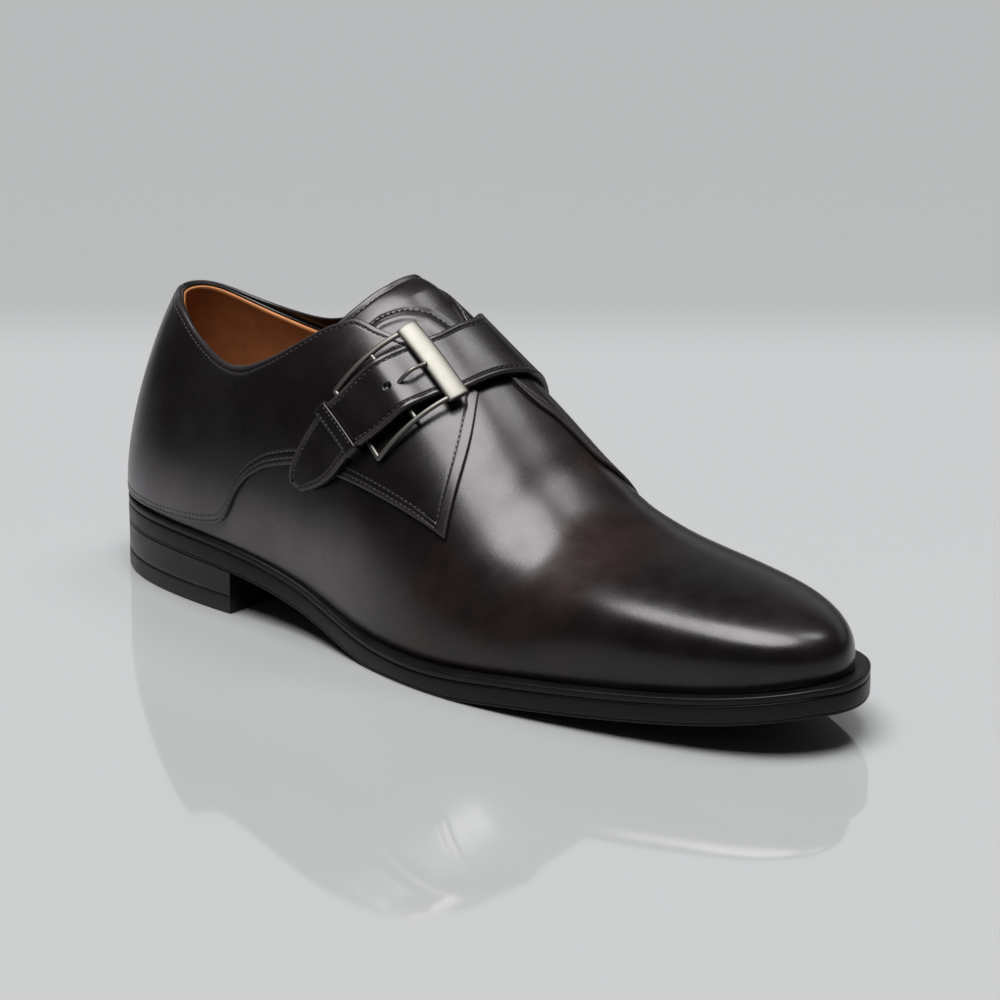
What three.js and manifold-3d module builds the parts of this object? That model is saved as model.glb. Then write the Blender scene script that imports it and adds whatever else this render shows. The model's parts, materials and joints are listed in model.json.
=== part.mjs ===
// Monk strap shoe, right foot. Millimetres, +X toe, +Y inner (medial) side, +Z up.
import * as THREE from 'three';
import Module from 'manifold-3d';

const wasm = await Module();
wasm.setup();

// ---------------------------------------------------------------- sizes (mm)
const UPPER_WALL = 2.0;        // thickness of the hollow upper and the tongue
const GAP = 0.3;               // clearance between neighbouring pieces
const OVERLAY = 1.3;           // thickness of the quarters lying on the upper
const STRAP_T = 2.2;           // thickness of the strap
const OUTSOLE_T = 5.0;         // leather outsole
const SOLE_DEPTH = 9.6;        // feather line down to the tread
const TOP_PIECE_T = 6.0;       // rubber top piece of the heel
const BREAST_X = 72.0;         // front face of the heel
const WELT_IN = 3.6;           // how far the welt reaches in under the upper
const FAN_HEEL = 30.0, FAN_TOE = 252.0, FAN_SOFT = 7.0; // where the sections fan out round heel and toe

// Last, one row per section round the feather line.
// side: -1 outer (lateral), +1 inner (medial); x,y plan of the feather line;
// edge: sole beyond it; bulge: fullness of the wall; wall, shoulder: section handles
const LAST = [
  //  x,    y,    edge, bulge, wall, shoulder
  [0, -1.5, 1.5, 3.3, .301, .303],      // heel back
  [5, -16, 1.5, 2.6, .25, .427],
  [18, -28, 1.5, 2.6, .25, .427],
  [42, -35.5, 1.5, 2.6, .25, .427],    // outer seat
  [72, -37.5, 1.5, 4.0, .36, .22],    // outer breast
  [105, -37.5, 2.0, 5.0, .38, .24],
  [135, -42.5, 3.0, 5.0, .42, .32],
  [165, -46, 4.5, 3.5, .46, .34],     // outer ball
  [195, -44.6, 5.0, 2.5, .50, .32],
  [222, -40.4, 5.0, 2.0, .66, .08],
  [250, -34, 5.0, 2.0, .68, .06],
  [275, -25.5, 5.0, 2.0, .68, .06],
  [290, -15.2, 5.0, 2.0, .68, .08],
  [297, 0.2, 5.0, 2.0, .68, .12],     // toe
  [290, 15.4, 5.0, 1.5, .68, .18],
  [275, 26.2, 5.0, 1.5, .68, .18],
  [250, 35, 5.0, 2.0, .62, .22],
  [215, 40.6, 5.0, 2.5, .50, .30],    // inner ball
  [185, 38.4, 4.0, 4.0, .46, .30],
  [150, 31, 2.0, 6.0, .42, .28],
  [115, 26.6, 1.5, 6.5, .38, .24],    // inner waist
  [74, 29.5, 1.5, 4.5, .36, .22],
  [42, 30, 1.5, 4.0, .353, .18],       // inner seat
  [18, 24, 1.5, 4.0, .353, .18],
  [5, 13, 1.5, 4.0, .353, .18],
];
const TOE_ROW = 13;
// Height of the feather line along the shoe: heel, arch, ball, toe spring
const FEATHER = [[0, 24.8], [18, 25.2], [42, 25.4], [72, 24.0], [105, 17.8], [135, 10.6], [150, 9.2], [165, 8.9],
  [185, 10.2], [195, 11.2], [222, 13.6], [250, 16.3], [275, 19.4], [290, 21.8], [297, 22.9]];
// Instep line: x, y, z
const RIDGE = [[30, 5.5, 105.4], [60, 5.6, 103.5], [90, 9, 112.1], [108, 11.5, 112.5], [125, 13, 105], [145, 13.8, 92], [165, 13.6, 78.5],
  [190, 12, 59.7], [215, 10, 49.6], [235, 7.8, 46.6], [252, 5.8, 44.6]];
// Collar: x, height on the outer side, height on the inner side
const COLLAR = [[0, 95.4, 95.4], [8, 93.8, 93.8], [13, 92.9, 92.9], [18, 92.8, 90.6], [25, 91.6, 87.3], [36, 86, 84], [45, 82.1, 82.3],
  [62, 78.1, 80.8], [80, 81.2, 84.4], [92, 88.3, 88], [102, 95.4, 91.6], [112, 97, 99.5], [122, 102, 104]];
// Throat: the oval cut in the upper that the tongue fills
const THROAT_X = 136, THROAT_OUT = [101, .355], THROAT_IN = [107, .33];
// Top edge of the tongue: w across, x along
const TONGUE_TOP = [[-.36, 98.2], [-.30, 99.6], [-.20, 103.6], [-.10, 106.4], [0, 107.6], [.10, 108], [.20, 108.2], [.31, 108.4]];
// Lower edge of the quarters: x, w (1 at the feather line, 0 on the instep)
const Q_OUT_LOW = [[0, .985], [58, .985], [67, .975], [71, .94], [74, .86], [79, .795], [87, .75], [100, .715], [116, .69], [141, .64], [167, .59]];
const Q_IN_LOW = [[0, .985], [60, .985], [71, .975], [75, .94], [78, .86], [84, .795], [93, .75], [108, .715], [130, .69], [160, .65], [188, .60]];
// Upper edge of the quarters forward of the collar: x, w
const Q_OUT_UP = [[102, .352], [106, .308], [115, .325], [125, .30], [140, .22], [151.5, .165]];
const Q_IN_UP = [[108, .33], [112, .315], [117, .285], [121, .22], [124.5, .13], [129, .06], [136, .02], [142, .0], [150, -.04]];
// Front edge of the quarters from the lower corner upward: x, w
const Q_OUT_FRONT = [[167, .59], [164.3, .46], [159.5, .30], [151.5, .165]];
const Q_IN_FRONT = [[188, .60], [188.5, .45], [187.5, .30], [185.5, .18], [182, .10], [174, .045], [164, -.02], [150, -.04]];
// Strap, one row per station from the inner root to the outer tip:
// upper edge x,w, lower edge x,w, height of its underside above the last
const STRAP = [
  [121, .34, 153, .33, 1.95], [126, .20, 154.5, .19, 1.95], [131, .08, 155, .07, 1.95], [133, .01, 154, .0, 1.95],
  [132, -.07, 151.5, -.08, 1.95], [131, -.14, 148.5, -.20, 1.95], [127.8, -.21, 144.5, -.26, 1.95],
  [124.8, -.27, 142, -.31, 3.0], [121.8, -.33, 139.2, -.365, 4.95], [118.2, -.395, 135.8, -.43, 4.4], [114.6, -.46, 131.6, -.495, 4.2],
  [110.3, -.51, 126.5, -.55, 3.2], [105.5, -.58, 122, -.61, 2.1], [102.3, -.64, 118, -.66, 1.95],
  [100.6, -.69, 112.5, -.70, 1.95], [101.6, -.722, 107, -.728, 1.95]];
// Buckle frame corners x, w, height of the bar centre above the last
const BUCKLE = { frontUp: [124.5, -.205, 5.5], frontLow: [148.4, -.238, 5.5], rearUp: [111.6, -.46, 3.0], rearLow: [135.5, -.525, 3.0] };
const HINGE = [[118.4, -.325, 3.75], [142.6, -.372, 3.75]];
const FRONT_BAR_W = 7.4, FRONT_BAR_T = 2.1, ARM_W = 2.6, ARM_T = 1.9, HINGE_R = 0.85;
const PRONG_R = 0.85, PRONG_RING = 1.85, PRONG_RING_HOLE = 1.18;
const KEEPER_W = 5.0, KEEPER_T = 1.2;

// ------------------------------------------------------------------ helpers
class Spline {
  constructor(xs, ys) {
    const n = xs.length, h = [], a = Array(n).fill(0), b = Array(n).fill(1), c = Array(n).fill(0), d = Array(n).fill(0);
    for (let i = 0; i < n - 1; i++) h.push(xs[i + 1] - xs[i]);
    for (let i = 1; i < n - 1; i++) {
      a[i] = h[i - 1]; b[i] = 2 * (h[i - 1] + h[i]); c[i] = h[i];
      d[i] = 6 * ((ys[i + 1] - ys[i]) / h[i] - (ys[i] - ys[i - 1]) / h[i - 1]);
    }
    for (let i = 1; i < n; i++) { const w = a[i] / b[i - 1]; b[i] -= w * c[i - 1]; d[i] -= w * d[i - 1]; }
    const m = Array(n).fill(0);
    m[n - 1] = d[n - 1] / b[n - 1];
    for (let i = n - 2; i >= 0; i--) m[i] = (d[i] - c[i] * m[i + 1]) / b[i];
    Object.assign(this, { xs, ys, h, m, n });
  }
  at(t) {
    const { xs, ys, h, m, n } = this;
    const tc = Math.min(Math.max(t, xs[0]), xs[n - 1]);
    let i = 0;
    while (i < n - 2 && xs[i + 1] <= tc) i++;
    const A = (xs[i + 1] - tc) / h[i], B = (tc - xs[i]) / h[i];
    let v = A * ys[i] + B * ys[i + 1] + ((A ** 3 - A) * m[i] + (B ** 3 - B) * m[i + 1]) * h[i] * h[i] / 6;
    if (t < xs[0]) v += (t - xs[0]) * ((ys[1] - ys[0]) / h[0] - h[0] * m[1] / 6 - h[0] * m[0] / 3);
    if (t > xs[n - 1]) v += (t - xs[n - 1]) * ((ys[n - 1] - ys[n - 2]) / h[n - 2] + h[n - 2] * m[n - 2] / 6 + h[n - 2] * m[n - 1] / 3);
    return v;
  }
}
const lerp = (a, b, t) => a + (b - a) * t;
const poly = (T, x, k = 1) => {            // straight-line look-up in a table
  if (x <= T[0][0]) return T[0][k];
  for (let i = 1; i < T.length; i++) if (x <= T[i][0]) return lerp(T[i - 1][k], T[i][k], (x - T[i - 1][0]) / (T[i][0] - T[i - 1][0]));
  return T[T.length - 1][k];
};
const table = (T, k = 1) => new Spline(T.map(r => r[0]), T.map(r => r[k]));
const V = (x, y, z) => new THREE.Vector3(x, y, z);

// -------------------------------------------------------------- last surface
const loopT = [0];
for (let i = 0; i < LAST.length; i++) {
  const a = LAST[i], b = LAST[(i + 1) % LAST.length];
  loopT.push(loopT[i] + Math.hypot(b[0] - a[0], b[1] - a[1]) ** 0.75);
}
const LOOP = loopT[LAST.length], TOE_T = loopT[TOE_ROW];
const periodic = k => {
  const xs = [], ys = [];
  for (let r = -1; r < 2; r++) for (let i = 0; i < LAST.length; i++) { xs.push(loopT[i] + r * LOOP); ys.push(LAST[i][k]); }
  xs.push(2 * LOOP); ys.push(LAST[0][k]);
  return new Spline(xs, ys);
};
const [cx, cy, cEdge, cBulge, cWall, cShoulder] = [0, 1, 2, 3, 4, 5].map(periodic);
const feather = table(FEATHER), ridgeY = table(RIDGE, 1), ridgeZ = table(RIDGE, 2);
const collarOut = table(COLLAR, 1), collarIn = table(COLLAR, 2);
const softplus = x => (x > 30 ? x : Math.log1p(Math.exp(x)));
const ridgeStation = x => {
  const lo = FAN_HEEL + softplus((x - FAN_HEEL) / FAN_SOFT) * FAN_SOFT;
  return FAN_TOE - softplus((FAN_TOE - lo) / FAN_SOFT) * FAN_SOFT;
};
const ridgeSlope = xr => ridgeZ.at(xr + .5) - ridgeZ.at(xr - .5);
function S(t, v) {                        // t round the feather line, v 0 at the feather, 1 on the instep
  const x = cx.at(t), y = cy.at(t), z = feather.at(x), b = cBulge.at(t), wall = cWall.at(t), sh = cShoulder.at(t);
  const xr = ridgeStation(x), m = ridgeSlope(xr), dx = xr - x, dy = ridgeY.at(xr) - y, W = Math.hypot(dx, dy);
  const ux = dx / W, uy = dy / W, H = ridgeZ.at(xr) - z;
  const a = 3 * v * (1 - v) ** 2, c = 3 * v * v * (1 - v), e = v ** 3;
  const s = -a * b + c * sh * W + e * W, h = a * wall * H + c * (H - (1 - sh) * W * m * ux) + e * H;
  return V(x + ux * s, y + uy * s, z + h);
}
function normalAt(t, v) {
  if (v > .9985) { const m = ridgeSlope(ridgeStation(cx.at(t))); return V(-m, 0, 1).normalize(); }
  const e = .12, f = .003;
  const a = S(t + e, v).sub(S(t - e, v)), b = S(t, v + f).sub(S(t, v - f));
  return a.cross(b).normalize();
}
const P = (t, v, h = 0) => { const p = S(t, v); return h ? p.addScaledVector(normalAt(t, v), h) : p; };
function tOf(x, side) {                   // loop parameter of station x on one side
  let lo = side < 0 ? 0 : LOOP, hi = TOE_T;
  for (let i = 0; i < 50; i++) { const m = (lo + hi) / 2; if (cx.at(m) < x) lo = m; else hi = m; }
  return (lo + hi) / 2;
}
// station x, w: -1 outer feather line, 0 instep, +1 inner feather line, h above the last
const Q = (x, w, h = 0) => P(tOf(x, w < 0 ? -1 : 1), 1 - Math.abs(w), h);
function collarV(t, side) {
  const c = side < 0 ? collarOut : collarIn;
  let prev = 0;
  for (let i = 1; i <= 80; i++) {
    const v = i / 80, p = S(t, v);
    if (p.z > c.at(p.x)) {
      let lo = prev, hi = v;
      for (let k = 0; k < 30; k++) { const m = (lo + hi) / 2, q = S(t, m); if (q.z > c.at(q.x)) hi = m; else lo = m; }
      return (lo + hi) / 2;
    }
    prev = v;
  }
  return 1;
}

// ------------------------------------------------------------- mesh building
function toGeometry(points, tris) {       // weld, drop empty faces, orient outward
  const key = new Map(), map = [], pos = [];
  points.forEach(p => {
    const k = [p.x, p.y, p.z].map(c => Math.round(c * 50)).join();
    if (!key.has(k)) { key.set(k, pos.length / 3); pos.push(p.x, p.y, p.z); }
    map.push(key.get(k));
  });
  const idx = [];
  for (const [a, b, c] of tris) { const A = map[a], B = map[b], C = map[c]; if (A !== B && B !== C && A !== C) idx.push(A, B, C); }
  let vol = 0;
  for (let i = 0; i < idx.length; i += 3) {
    const [a, b, c] = [0, 1, 2].map(k => V(...pos.slice(idx[i + k] * 3, idx[i + k] * 3 + 3)));
    vol += a.dot(b.cross(c));
  }
  if (vol < 0) for (let i = 0; i < idx.length; i += 3) [idx[i + 1], idx[i + 2]] = [idx[i + 2], idx[i + 1]];
  const g = new THREE.BufferGeometry();
  g.setAttribute('position', new THREE.Float32BufferAttribute(pos, 3));
  g.setIndex(idx);
  return g;
}
function slab(outer, inner) {             // outer, inner: grids [i][j] of the two faces of a sheet
  const n = outer.length, m = outer[0].length, pts = [], tris = [];
  const id = (s, i, j) => s * n * m + i * m + j;
  for (const g of [outer, inner]) for (const r of g) for (const p of r) pts.push(p);
  for (let i = 0; i + 1 < n; i++) for (let j = 0; j + 1 < m; j++) {
    tris.push([id(0, i, j), id(0, i + 1, j), id(0, i + 1, j + 1)], [id(0, i, j), id(0, i + 1, j + 1), id(0, i, j + 1)]);
    tris.push([id(1, i, j), id(1, i + 1, j + 1), id(1, i + 1, j)], [id(1, i, j), id(1, i, j + 1), id(1, i + 1, j + 1)]);
  }
  const side = (b, a) => tris.push([id(0, ...a), id(1, ...a), id(1, ...b)], [id(0, ...a), id(1, ...b), id(0, ...b)]);
  for (let j = 0; j + 1 < m; j++) { side([0, j], [0, j + 1]); side([n - 1, j + 1], [n - 1, j]); }
  for (let i = 0; i + 1 < n; i++) { side([i + 1, 0], [i, 0]); side([i, m - 1], [i + 1, m - 1]); }
  return toGeometry(pts, tris);
}
function sweep(path, up, halfW, halfT, chamfer = .35) { // bevelled bar along a path, up: thickness direction
  const n = path.length, rows = [];
  for (let i = 0; i < n; i++) {
    const T = path[Math.min(i + 1, n - 1)].clone().sub(path[Math.max(i - 1, 0)]).normalize();
    const B = T.clone().cross(up[i]).normalize(), N = B.clone().cross(T).normalize();
    const hw = typeof halfW === 'function' ? halfW(i / (n - 1)) : halfW, ht = typeof halfT === 'function' ? halfT(i / (n - 1)) : halfT;
    const c = Math.min(hw, ht) * chamfer * 2;
    rows.push([[hw, ht - c], [hw - c, ht], [c - hw, ht], [-hw, ht - c], [-hw, c - ht], [c - hw, -ht], [hw - c, -ht], [hw, c - ht]]
      .map(([a, b]) => path[i].clone().addScaledVector(B, a).addScaledVector(N, b)));
  }
  const pts = rows.flat(), tris = [];
  for (let i = 0; i + 1 < n; i++) for (let k = 0; k < 8; k++) {
    const a = i * 8 + k, b = i * 8 + (k + 1) % 8;
    tris.push([a, b, b + 8], [a, b + 8, a + 8]);
  }
  for (let k = 1; k < 7; k++) tris.push([0, k + 1, k], [(n - 1) * 8, (n - 1) * 8 + k, (n - 1) * 8 + k + 1]);
  return toGeometry(pts, tris);
}
function washer(c, axis, rOut, rIn, width, n = 16) {
  const a = axis.clone().normalize(), u = V(0, 0, 1).cross(a).normalize(), w = a.clone().cross(u), pts = [], tris = [];
  for (let i = 0; i < n; i++) {
    const f = 2 * Math.PI * i / n, d = u.clone().multiplyScalar(Math.cos(f)).addScaledVector(w, Math.sin(f));
    for (const [r, s] of [[rOut, -1], [rOut, 1], [rIn, 1], [rIn, -1]]) pts.push(c.clone().addScaledVector(d, r).addScaledVector(a, s * width / 2));
  }
  for (let i = 0; i < n; i++) for (let k = 0; k < 4; k++) {
    const A = i * 4 + k, B = i * 4 + (k + 1) % 4, C = ((i + 1) % n) * 4 + k, D = ((i + 1) % n) * 4 + (k + 1) % 4;
    tris.push([A, B, D], [A, D, C]);
  }
  return toGeometry(pts, tris);
}
const solid = g => new wasm.Manifold(new wasm.Mesh({ numProp: 3, vertProperties: new Float32Array(g.attributes.position.array), triVerts: new Uint32Array(g.index.array) }));
function fromSolid(m) {
  const r = m.getMesh(), pts = [], tris = [];
  for (let i = 0; i < r.numVert; i++) pts.push(V(...r.vertProperties.slice(i * r.numProp, i * r.numProp + 3)));
  for (let i = 0; i < r.numTri; i++) tris.push([...r.triVerts.slice(i * 3, i * 3 + 3)]);
  const g = new THREE.BufferGeometry();
  g.setAttribute('position', new THREE.Float32BufferAttribute(pts.flatMap(p => [p.x, p.y, p.z]), 3));
  g.setIndex(tris.flat());
  return g;
}
const join = gs => fromSolid(gs.map(solid).reduce((a, b) => a.add(b)));

// --------------------------------------------------------------------- upper
const M = 12;                              // steps up the wall
function upperRows() {
  const rows = [];                         // { t, top, closed }
  const cosRange = (a, b, n, ends) => Array.from({ length: n }, (_, i) => lerp(a, b, ends ? (1 - Math.cos(Math.PI * (i + 1) / n)) / 2 : (i + 1) / n));
  const openSide = side => {
    const [x0, w0] = side < 0 ? THROAT_OUT : THROAT_IN, t0 = side < 0 ? 0 : LOOP, t1 = tOf(x0, side), out = [];
    for (let i = side < 0 ? 0 : 1; i <= 17; i++) { const t = lerp(t0, t1, i / 17); out.push({ t, top: i === 17 ? 1 - w0 : collarV(t, side) }); }
    for (let i = 1; i < 7; i++) { const a = i / 7 * Math.PI / 2; out.push({ t: tOf(x0 + (THROAT_X - x0) * Math.sin(a), side), top: 1 - w0 * Math.cos(a) }); }
    return out;
  };
  const closedX = Array.from({ length: 25 }, (_, i) => THROAT_X + (297 - THROAT_X) * Math.sin(Math.PI / 2 * (i / 25)) ** 1.0);
  const closedSide = side => closedX.map(x => ({ t: tOf(x, side), top: 1, closed: true }));
  rows.push(...openSide(-1), ...closedSide(-1), { t: TOE_T, top: 1, closed: true });
  rows.push(...closedSide(1).reverse(), ...openSide(1).reverse());
  return rows;
}
function buildUpper() {
  const rows = upperRows(), n = rows.length, pts = [], tris = [];
  for (const h of [0, -UPPER_WALL]) for (const r of rows) for (let j = 0; j <= M; j++) pts.push(P(r.t, r.top * j / M, h));
  const id = (s, i, j) => (s * n + (i % n)) * (M + 1) + j;
  for (let i = 0; i < n; i++) {
    for (let j = 0; j < M; j++) {
      tris.push([id(0, i, j), id(0, i + 1, j), id(0, i + 1, j + 1)], [id(0, i, j), id(0, i + 1, j + 1), id(0, i, j + 1)]);
      tris.push([id(1, i, j), id(1, i + 1, j + 1), id(1, i + 1, j)], [id(1, i, j), id(1, i, j + 1), id(1, i + 1, j + 1)]);
    }
    tris.push([id(0, i, 0), id(1, i, 0), id(1, i + 1, 0)], [id(0, i, 0), id(1, i + 1, 0), id(0, i + 1, 0)]);
    if (!(rows[i].closed && rows[(i + 1) % n].closed)) tris.push([id(0, i, M), id(1, i + 1, M), id(1, i, M)], [id(0, i, M), id(0, i + 1, M), id(1, i + 1, M)]);
  }
  return toGeometry(pts, tris);
}

// -------------------------------------------------------------------- tongue
function buildTongue() {
  const N = 22, K = 6, g = [[], []];
  for (let i = 0; i <= N; i++) {
    const a = lerp(-80, 80, i / N) * Math.PI / 180, side = a < 0 ? -1 : 1, [x0, w0] = side < 0 ? THROAT_OUT : THROAT_IN;
    const w = (w0 - .006) * Math.sin(Math.abs(a)) * side, xf = x0 + (THROAT_X - x0) * Math.cos(a) - GAP - .1, xb = poly(TONGUE_TOP, w);
    for (const s of [0, 1]) g[s].push(Array.from({ length: K + 1 }, (_, j) => Q(lerp(xb, xf, j / K), w === 0 ? 1e-6 : w, s ? -UPPER_WALL : 0)));
  }
  return slab(...g);
}

// ------------------------------------------------------------------ quarters
function buildQuarter(side) {
  const N = 34, K = 11, low = side < 0 ? Q_OUT_LOW : Q_IN_LOW, up = side < 0 ? Q_OUT_UP : Q_IN_UP, front = side < 0 ? Q_OUT_FRONT : Q_IN_FRONT;
  const t0 = side < 0 ? .12 : LOOP - .12, g = [[], []], nf = front.length - 1;
  for (let i = 0; i <= N; i++) {
    const u = i / N, rows = [[], []];
    for (let j = 0; j <= K; j++) {
      const q = j / K, f = Math.min(Math.floor(q * nf), nf - 1), r = q * nf - f;
      const xf = lerp(front[f][0], front[f + 1][0], r), wf = lerp(front[f][1], front[f + 1][1], r);
      const t = lerp(t0, tOf(xf, side), u), x = cx.at(t), k = u ** 3;
      const wu = x < up[0][0] ? 1 - collarV(t, side) + .004 : poly(up, x);
      const w = lerp(lerp(poly(low, x), wu, q), wf, k);
      for (const s of [0, 1]) {
        const h = s ? GAP : GAP + OVERLAY;
        rows[s].push(w < 0 ? Q(x, side * w || -1e-6, h) : P(t, 1 - w, h));
      }
    }
    g[0].push(rows[0]); g[1].push(rows[1]);
  }
  return slab(...g);
}

// --------------------------------------------------------------------- strap
const strapCols = [0, 1, 2, 3, 4].map(k => new Spline(STRAP.map((_, i) => i), STRAP.map(r => r[k])));
const strapAt = (s, e, h) => {             // s station, e 0 upper edge .. 1 lower edge
  const [ux, uw, lx, lw, hh] = strapCols.map(c => c.at(s));
  const w = lerp(uw, lw, e);
  return Q(lerp(ux, lx, e), Math.abs(w) < 1e-6 ? 1e-6 : w, Math.max(hh, 1.95) + h);
};
function buildStrap() {
  const N = 45, K = 4, g = [[], []];
  for (let i = 0; i <= N; i++) {
    const s = (STRAP.length - 1) * i / N;
    for (const k of [0, 1]) g[k].push(Array.from({ length: K + 1 }, (_, j) => strapAt(s, j / K, k ? 0 : STRAP_T)));
  }
  return slab(...g);
}

// -------------------------------------------------------------------- buckle
const up = (x, w) => normalAt(tOf(x, w < 0 ? -1 : 1), 1 - Math.abs(w));
const bar = (a, b, n, hw, ht, ext = 0) => {
  const path = [], ups = [];
  for (let i = 0; i <= n; i++) { const f = lerp(-ext, 1 + ext, i / n), x = lerp(a[0], b[0], f), w = lerp(a[1], b[1], f), h = lerp(a[2], b[2], f); path.push(Q(x, w, h)); ups.push(up(x, w)); }
  return sweep(path, ups, hw, ht);
};
function buildFrame() {
  const { frontUp, frontLow, rearUp, rearLow } = BUCKLE;
  return join([
    bar(frontUp, frontLow, 7, FRONT_BAR_W / 2, FRONT_BAR_T / 2, .03),
    bar(frontUp, rearUp, 7, ARM_W / 2, ARM_T / 2, .02),
    bar(frontLow, rearLow, 7, ARM_W / 2, ARM_T / 2, .02),
    bar(rearUp, rearLow, 7, ARM_W / 2, ARM_T / 2, .03),
    bar(HINGE[0], HINGE[1], 6, HINGE_R, HINGE_R),
  ]);
}
const hingeAt = f => Q(lerp(HINGE[0][0], HINGE[1][0], f), lerp(HINGE[0][1], HINGE[1][1], f), 3.75);
function prongPieces(grow) {
  const c = hingeAt(.55), axis = hingeAt(.65).sub(hingeAt(.45)), N = up(131.7, -.351), tip = Q(136.6, -.222, 8.1);
  const fwd = tip.clone().sub(c); fwd.addScaledVector(N, -fwd.dot(N)).normalize();
  const L = tip.clone().sub(c).dot(fwd), path = [[1.0, 1.55], [2.2, 2.9], [3.6, 3.7], [.5 * L, 4.2], [.75 * L, tip.clone().sub(c).dot(N) + .25], [L, tip.clone().sub(c).dot(N)]]
    .map(([a, b]) => c.clone().addScaledVector(fwd, a).addScaledVector(N, b));
  const ups = path.map(() => N);
  const ring = washer(c, axis, PRONG_RING + grow, grow ? .2 : PRONG_RING_HOLE, 2.2 + 2 * grow);
  return [ring, sweep(path, ups, f => (PRONG_R + grow) * (1 - .35 * f * f), f => (PRONG_R + grow) * (1 - .3 * f * f))];
}

// -------------------------------------------------------------------- keeper
function buildKeeper() {
  const s = 11.05, A = strapAt(s, 0, 0), B = strapAt(s, 1, 0), along = strapAt(s + .35, .5, 0).sub(strapAt(s - .35, .5, 0)).normalize();
  const inner = (e, h) => strapAt(s, e, h), path = [];
  const NA = A.clone().sub(B).normalize(), NB = NA.clone().negate(), off = GAP + .35 + KEEPER_T / 2, top = STRAP_T + GAP + .15 + KEEPER_T / 2;
  const foot = (e, dir) => { const p = Q(...strapXW(s, e), 2.0 + KEEPER_T * .3); return p.addScaledVector(dir, off); };
  path.push(foot(0, NA), inner(0, 0.4).addScaledVector(NA, off), inner(0, top - .6).addScaledVector(NA, off - .1), inner(0, top).addScaledVector(NA, .1));
  for (const e of [.2, .4, .6, .8]) path.push(inner(e, top));
  path.push(inner(1, top).addScaledVector(NB, .1), inner(1, top - .6).addScaledVector(NB, off - .1), inner(1, 0.4).addScaledVector(NB, off), foot(1, NB));
  const ups = path.map((p, i) => { const T = path[Math.min(i + 1, path.length - 1)].clone().sub(path[Math.max(i - 1, 0)]).normalize(); return T.clone().cross(along).normalize(); });
  return sweep(path, ups, KEEPER_W / 2, KEEPER_T / 2, .2);
}
function strapXW(s, e) { const [ux, uw, lx, lw] = strapCols.map(c => c.at(s)); return [lerp(ux, lx, e), lerp(uw, lw, e)]; }

// ---------------------------------------------------------------------- sole
const topZ = x => feather.at(Math.min(Math.max(x, 0), 297)) - GAP;   // top of welt and insole
const treadZ = x => Math.max(feather.at(Math.min(Math.max(x, 0), 297)) - SOLE_DEPTH, 0);
const outlineN = 52;
function outline(inset) {                  // matched outer and inner points, heel to toe
  const pt = t => {
    const e = .05, dx = cx.at(t + e) - cx.at(t - e), dy = cy.at(t + e) - cy.at(t - e), L = Math.hypot(dx, dy);
    const o = inset === null ? cEdge.at(t) : -inset;
    return [cx.at(t) + dy / L * o, cy.at(t) - dx / L * o];
  };
  const stations = Array.from({ length: outlineN + 1 }, (_, i) => i / outlineN);
  const out = stations.map(f => pt(lerp(0, TOE_T, f))), xs = out.map(p => p[0]);
  const inn = stations.map(f => pt(lerp(LOOP, TOE_T, f)));
  return [out, inn];
}
const keepFrom = (line, x0) => line.filter(p => p[0] < x0);
function plate(loop, zLow, zHigh) {        // closed loop: outer side heel->toe then inner side toe->heel, spanned side to side
  const [A, B] = loop, n = A.length, pts = [], tris = [], K = 4;
  const rows = A.map((a, i) => Array.from({ length: K + 1 }, (_, j) => [lerp(a[0], B[i][0], j / K), lerp(a[1], B[i][1], j / K)]));
  const id = (s, i, j) => (s * n + i) * (K + 1) + j;
  for (const z of [zHigh, zLow]) for (const r of rows) for (const p of r) pts.push(V(p[0], p[1], z(p[0])));
  for (let i = 0; i + 1 < n; i++) for (let j = 0; j < K; j++) {
    tris.push([id(0, i, j), id(0, i + 1, j), id(0, i + 1, j + 1)], [id(0, i, j), id(0, i + 1, j + 1), id(0, i, j + 1)]);
    tris.push([id(1, i, j), id(1, i + 1, j + 1), id(1, i + 1, j)], [id(1, i, j), id(1, i, j + 1), id(1, i + 1, j + 1)]);
  }
  const side = (b, a) => tris.push([id(0, ...a), id(1, ...a), id(1, ...b)], [id(0, ...a), id(1, ...b), id(0, ...b)]);
  for (let j = 0; j < K; j++) { side([0, j], [0, j + 1]); side([n - 1, j + 1], [n - 1, j]); }
  for (let i = 0; i + 1 < n; i++) { side([i + 1, 0], [i, 0]); side([i, K], [i + 1, K]); }
  return toGeometry(pts, tris);
}
function clipAt(line, x0) {                // keep the part behind x0 and end exactly on it
  const out = [];
  for (let i = 0; i < line.length; i++) {
    if (line[i][0] <= x0) { out.push(line[i]); continue; }
    const a = line[i - 1], b = line[i], f = (x0 - a[0]) / (b[0] - a[0]);
    out.push([x0, lerp(a[1], b[1], f)]);
    break;
  }
  return out;
}
function resample(line, n) {
  const d = [0];
  for (let i = 1; i < line.length; i++) d.push(d[i - 1] + Math.hypot(line[i][0] - line[i - 1][0], line[i][1] - line[i - 1][1]));
  return Array.from({ length: n + 1 }, (_, k) => {
    const s = d[d.length - 1] * k / n; let i = 1;
    while (i < d.length - 1 && d[i] < s) i++;
    const f = (s - d[i - 1]) / (d[i] - d[i - 1]);
    return [lerp(line[i - 1][0], line[i][0], f), lerp(line[i - 1][1], line[i][1], f)];
  });
}
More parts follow.
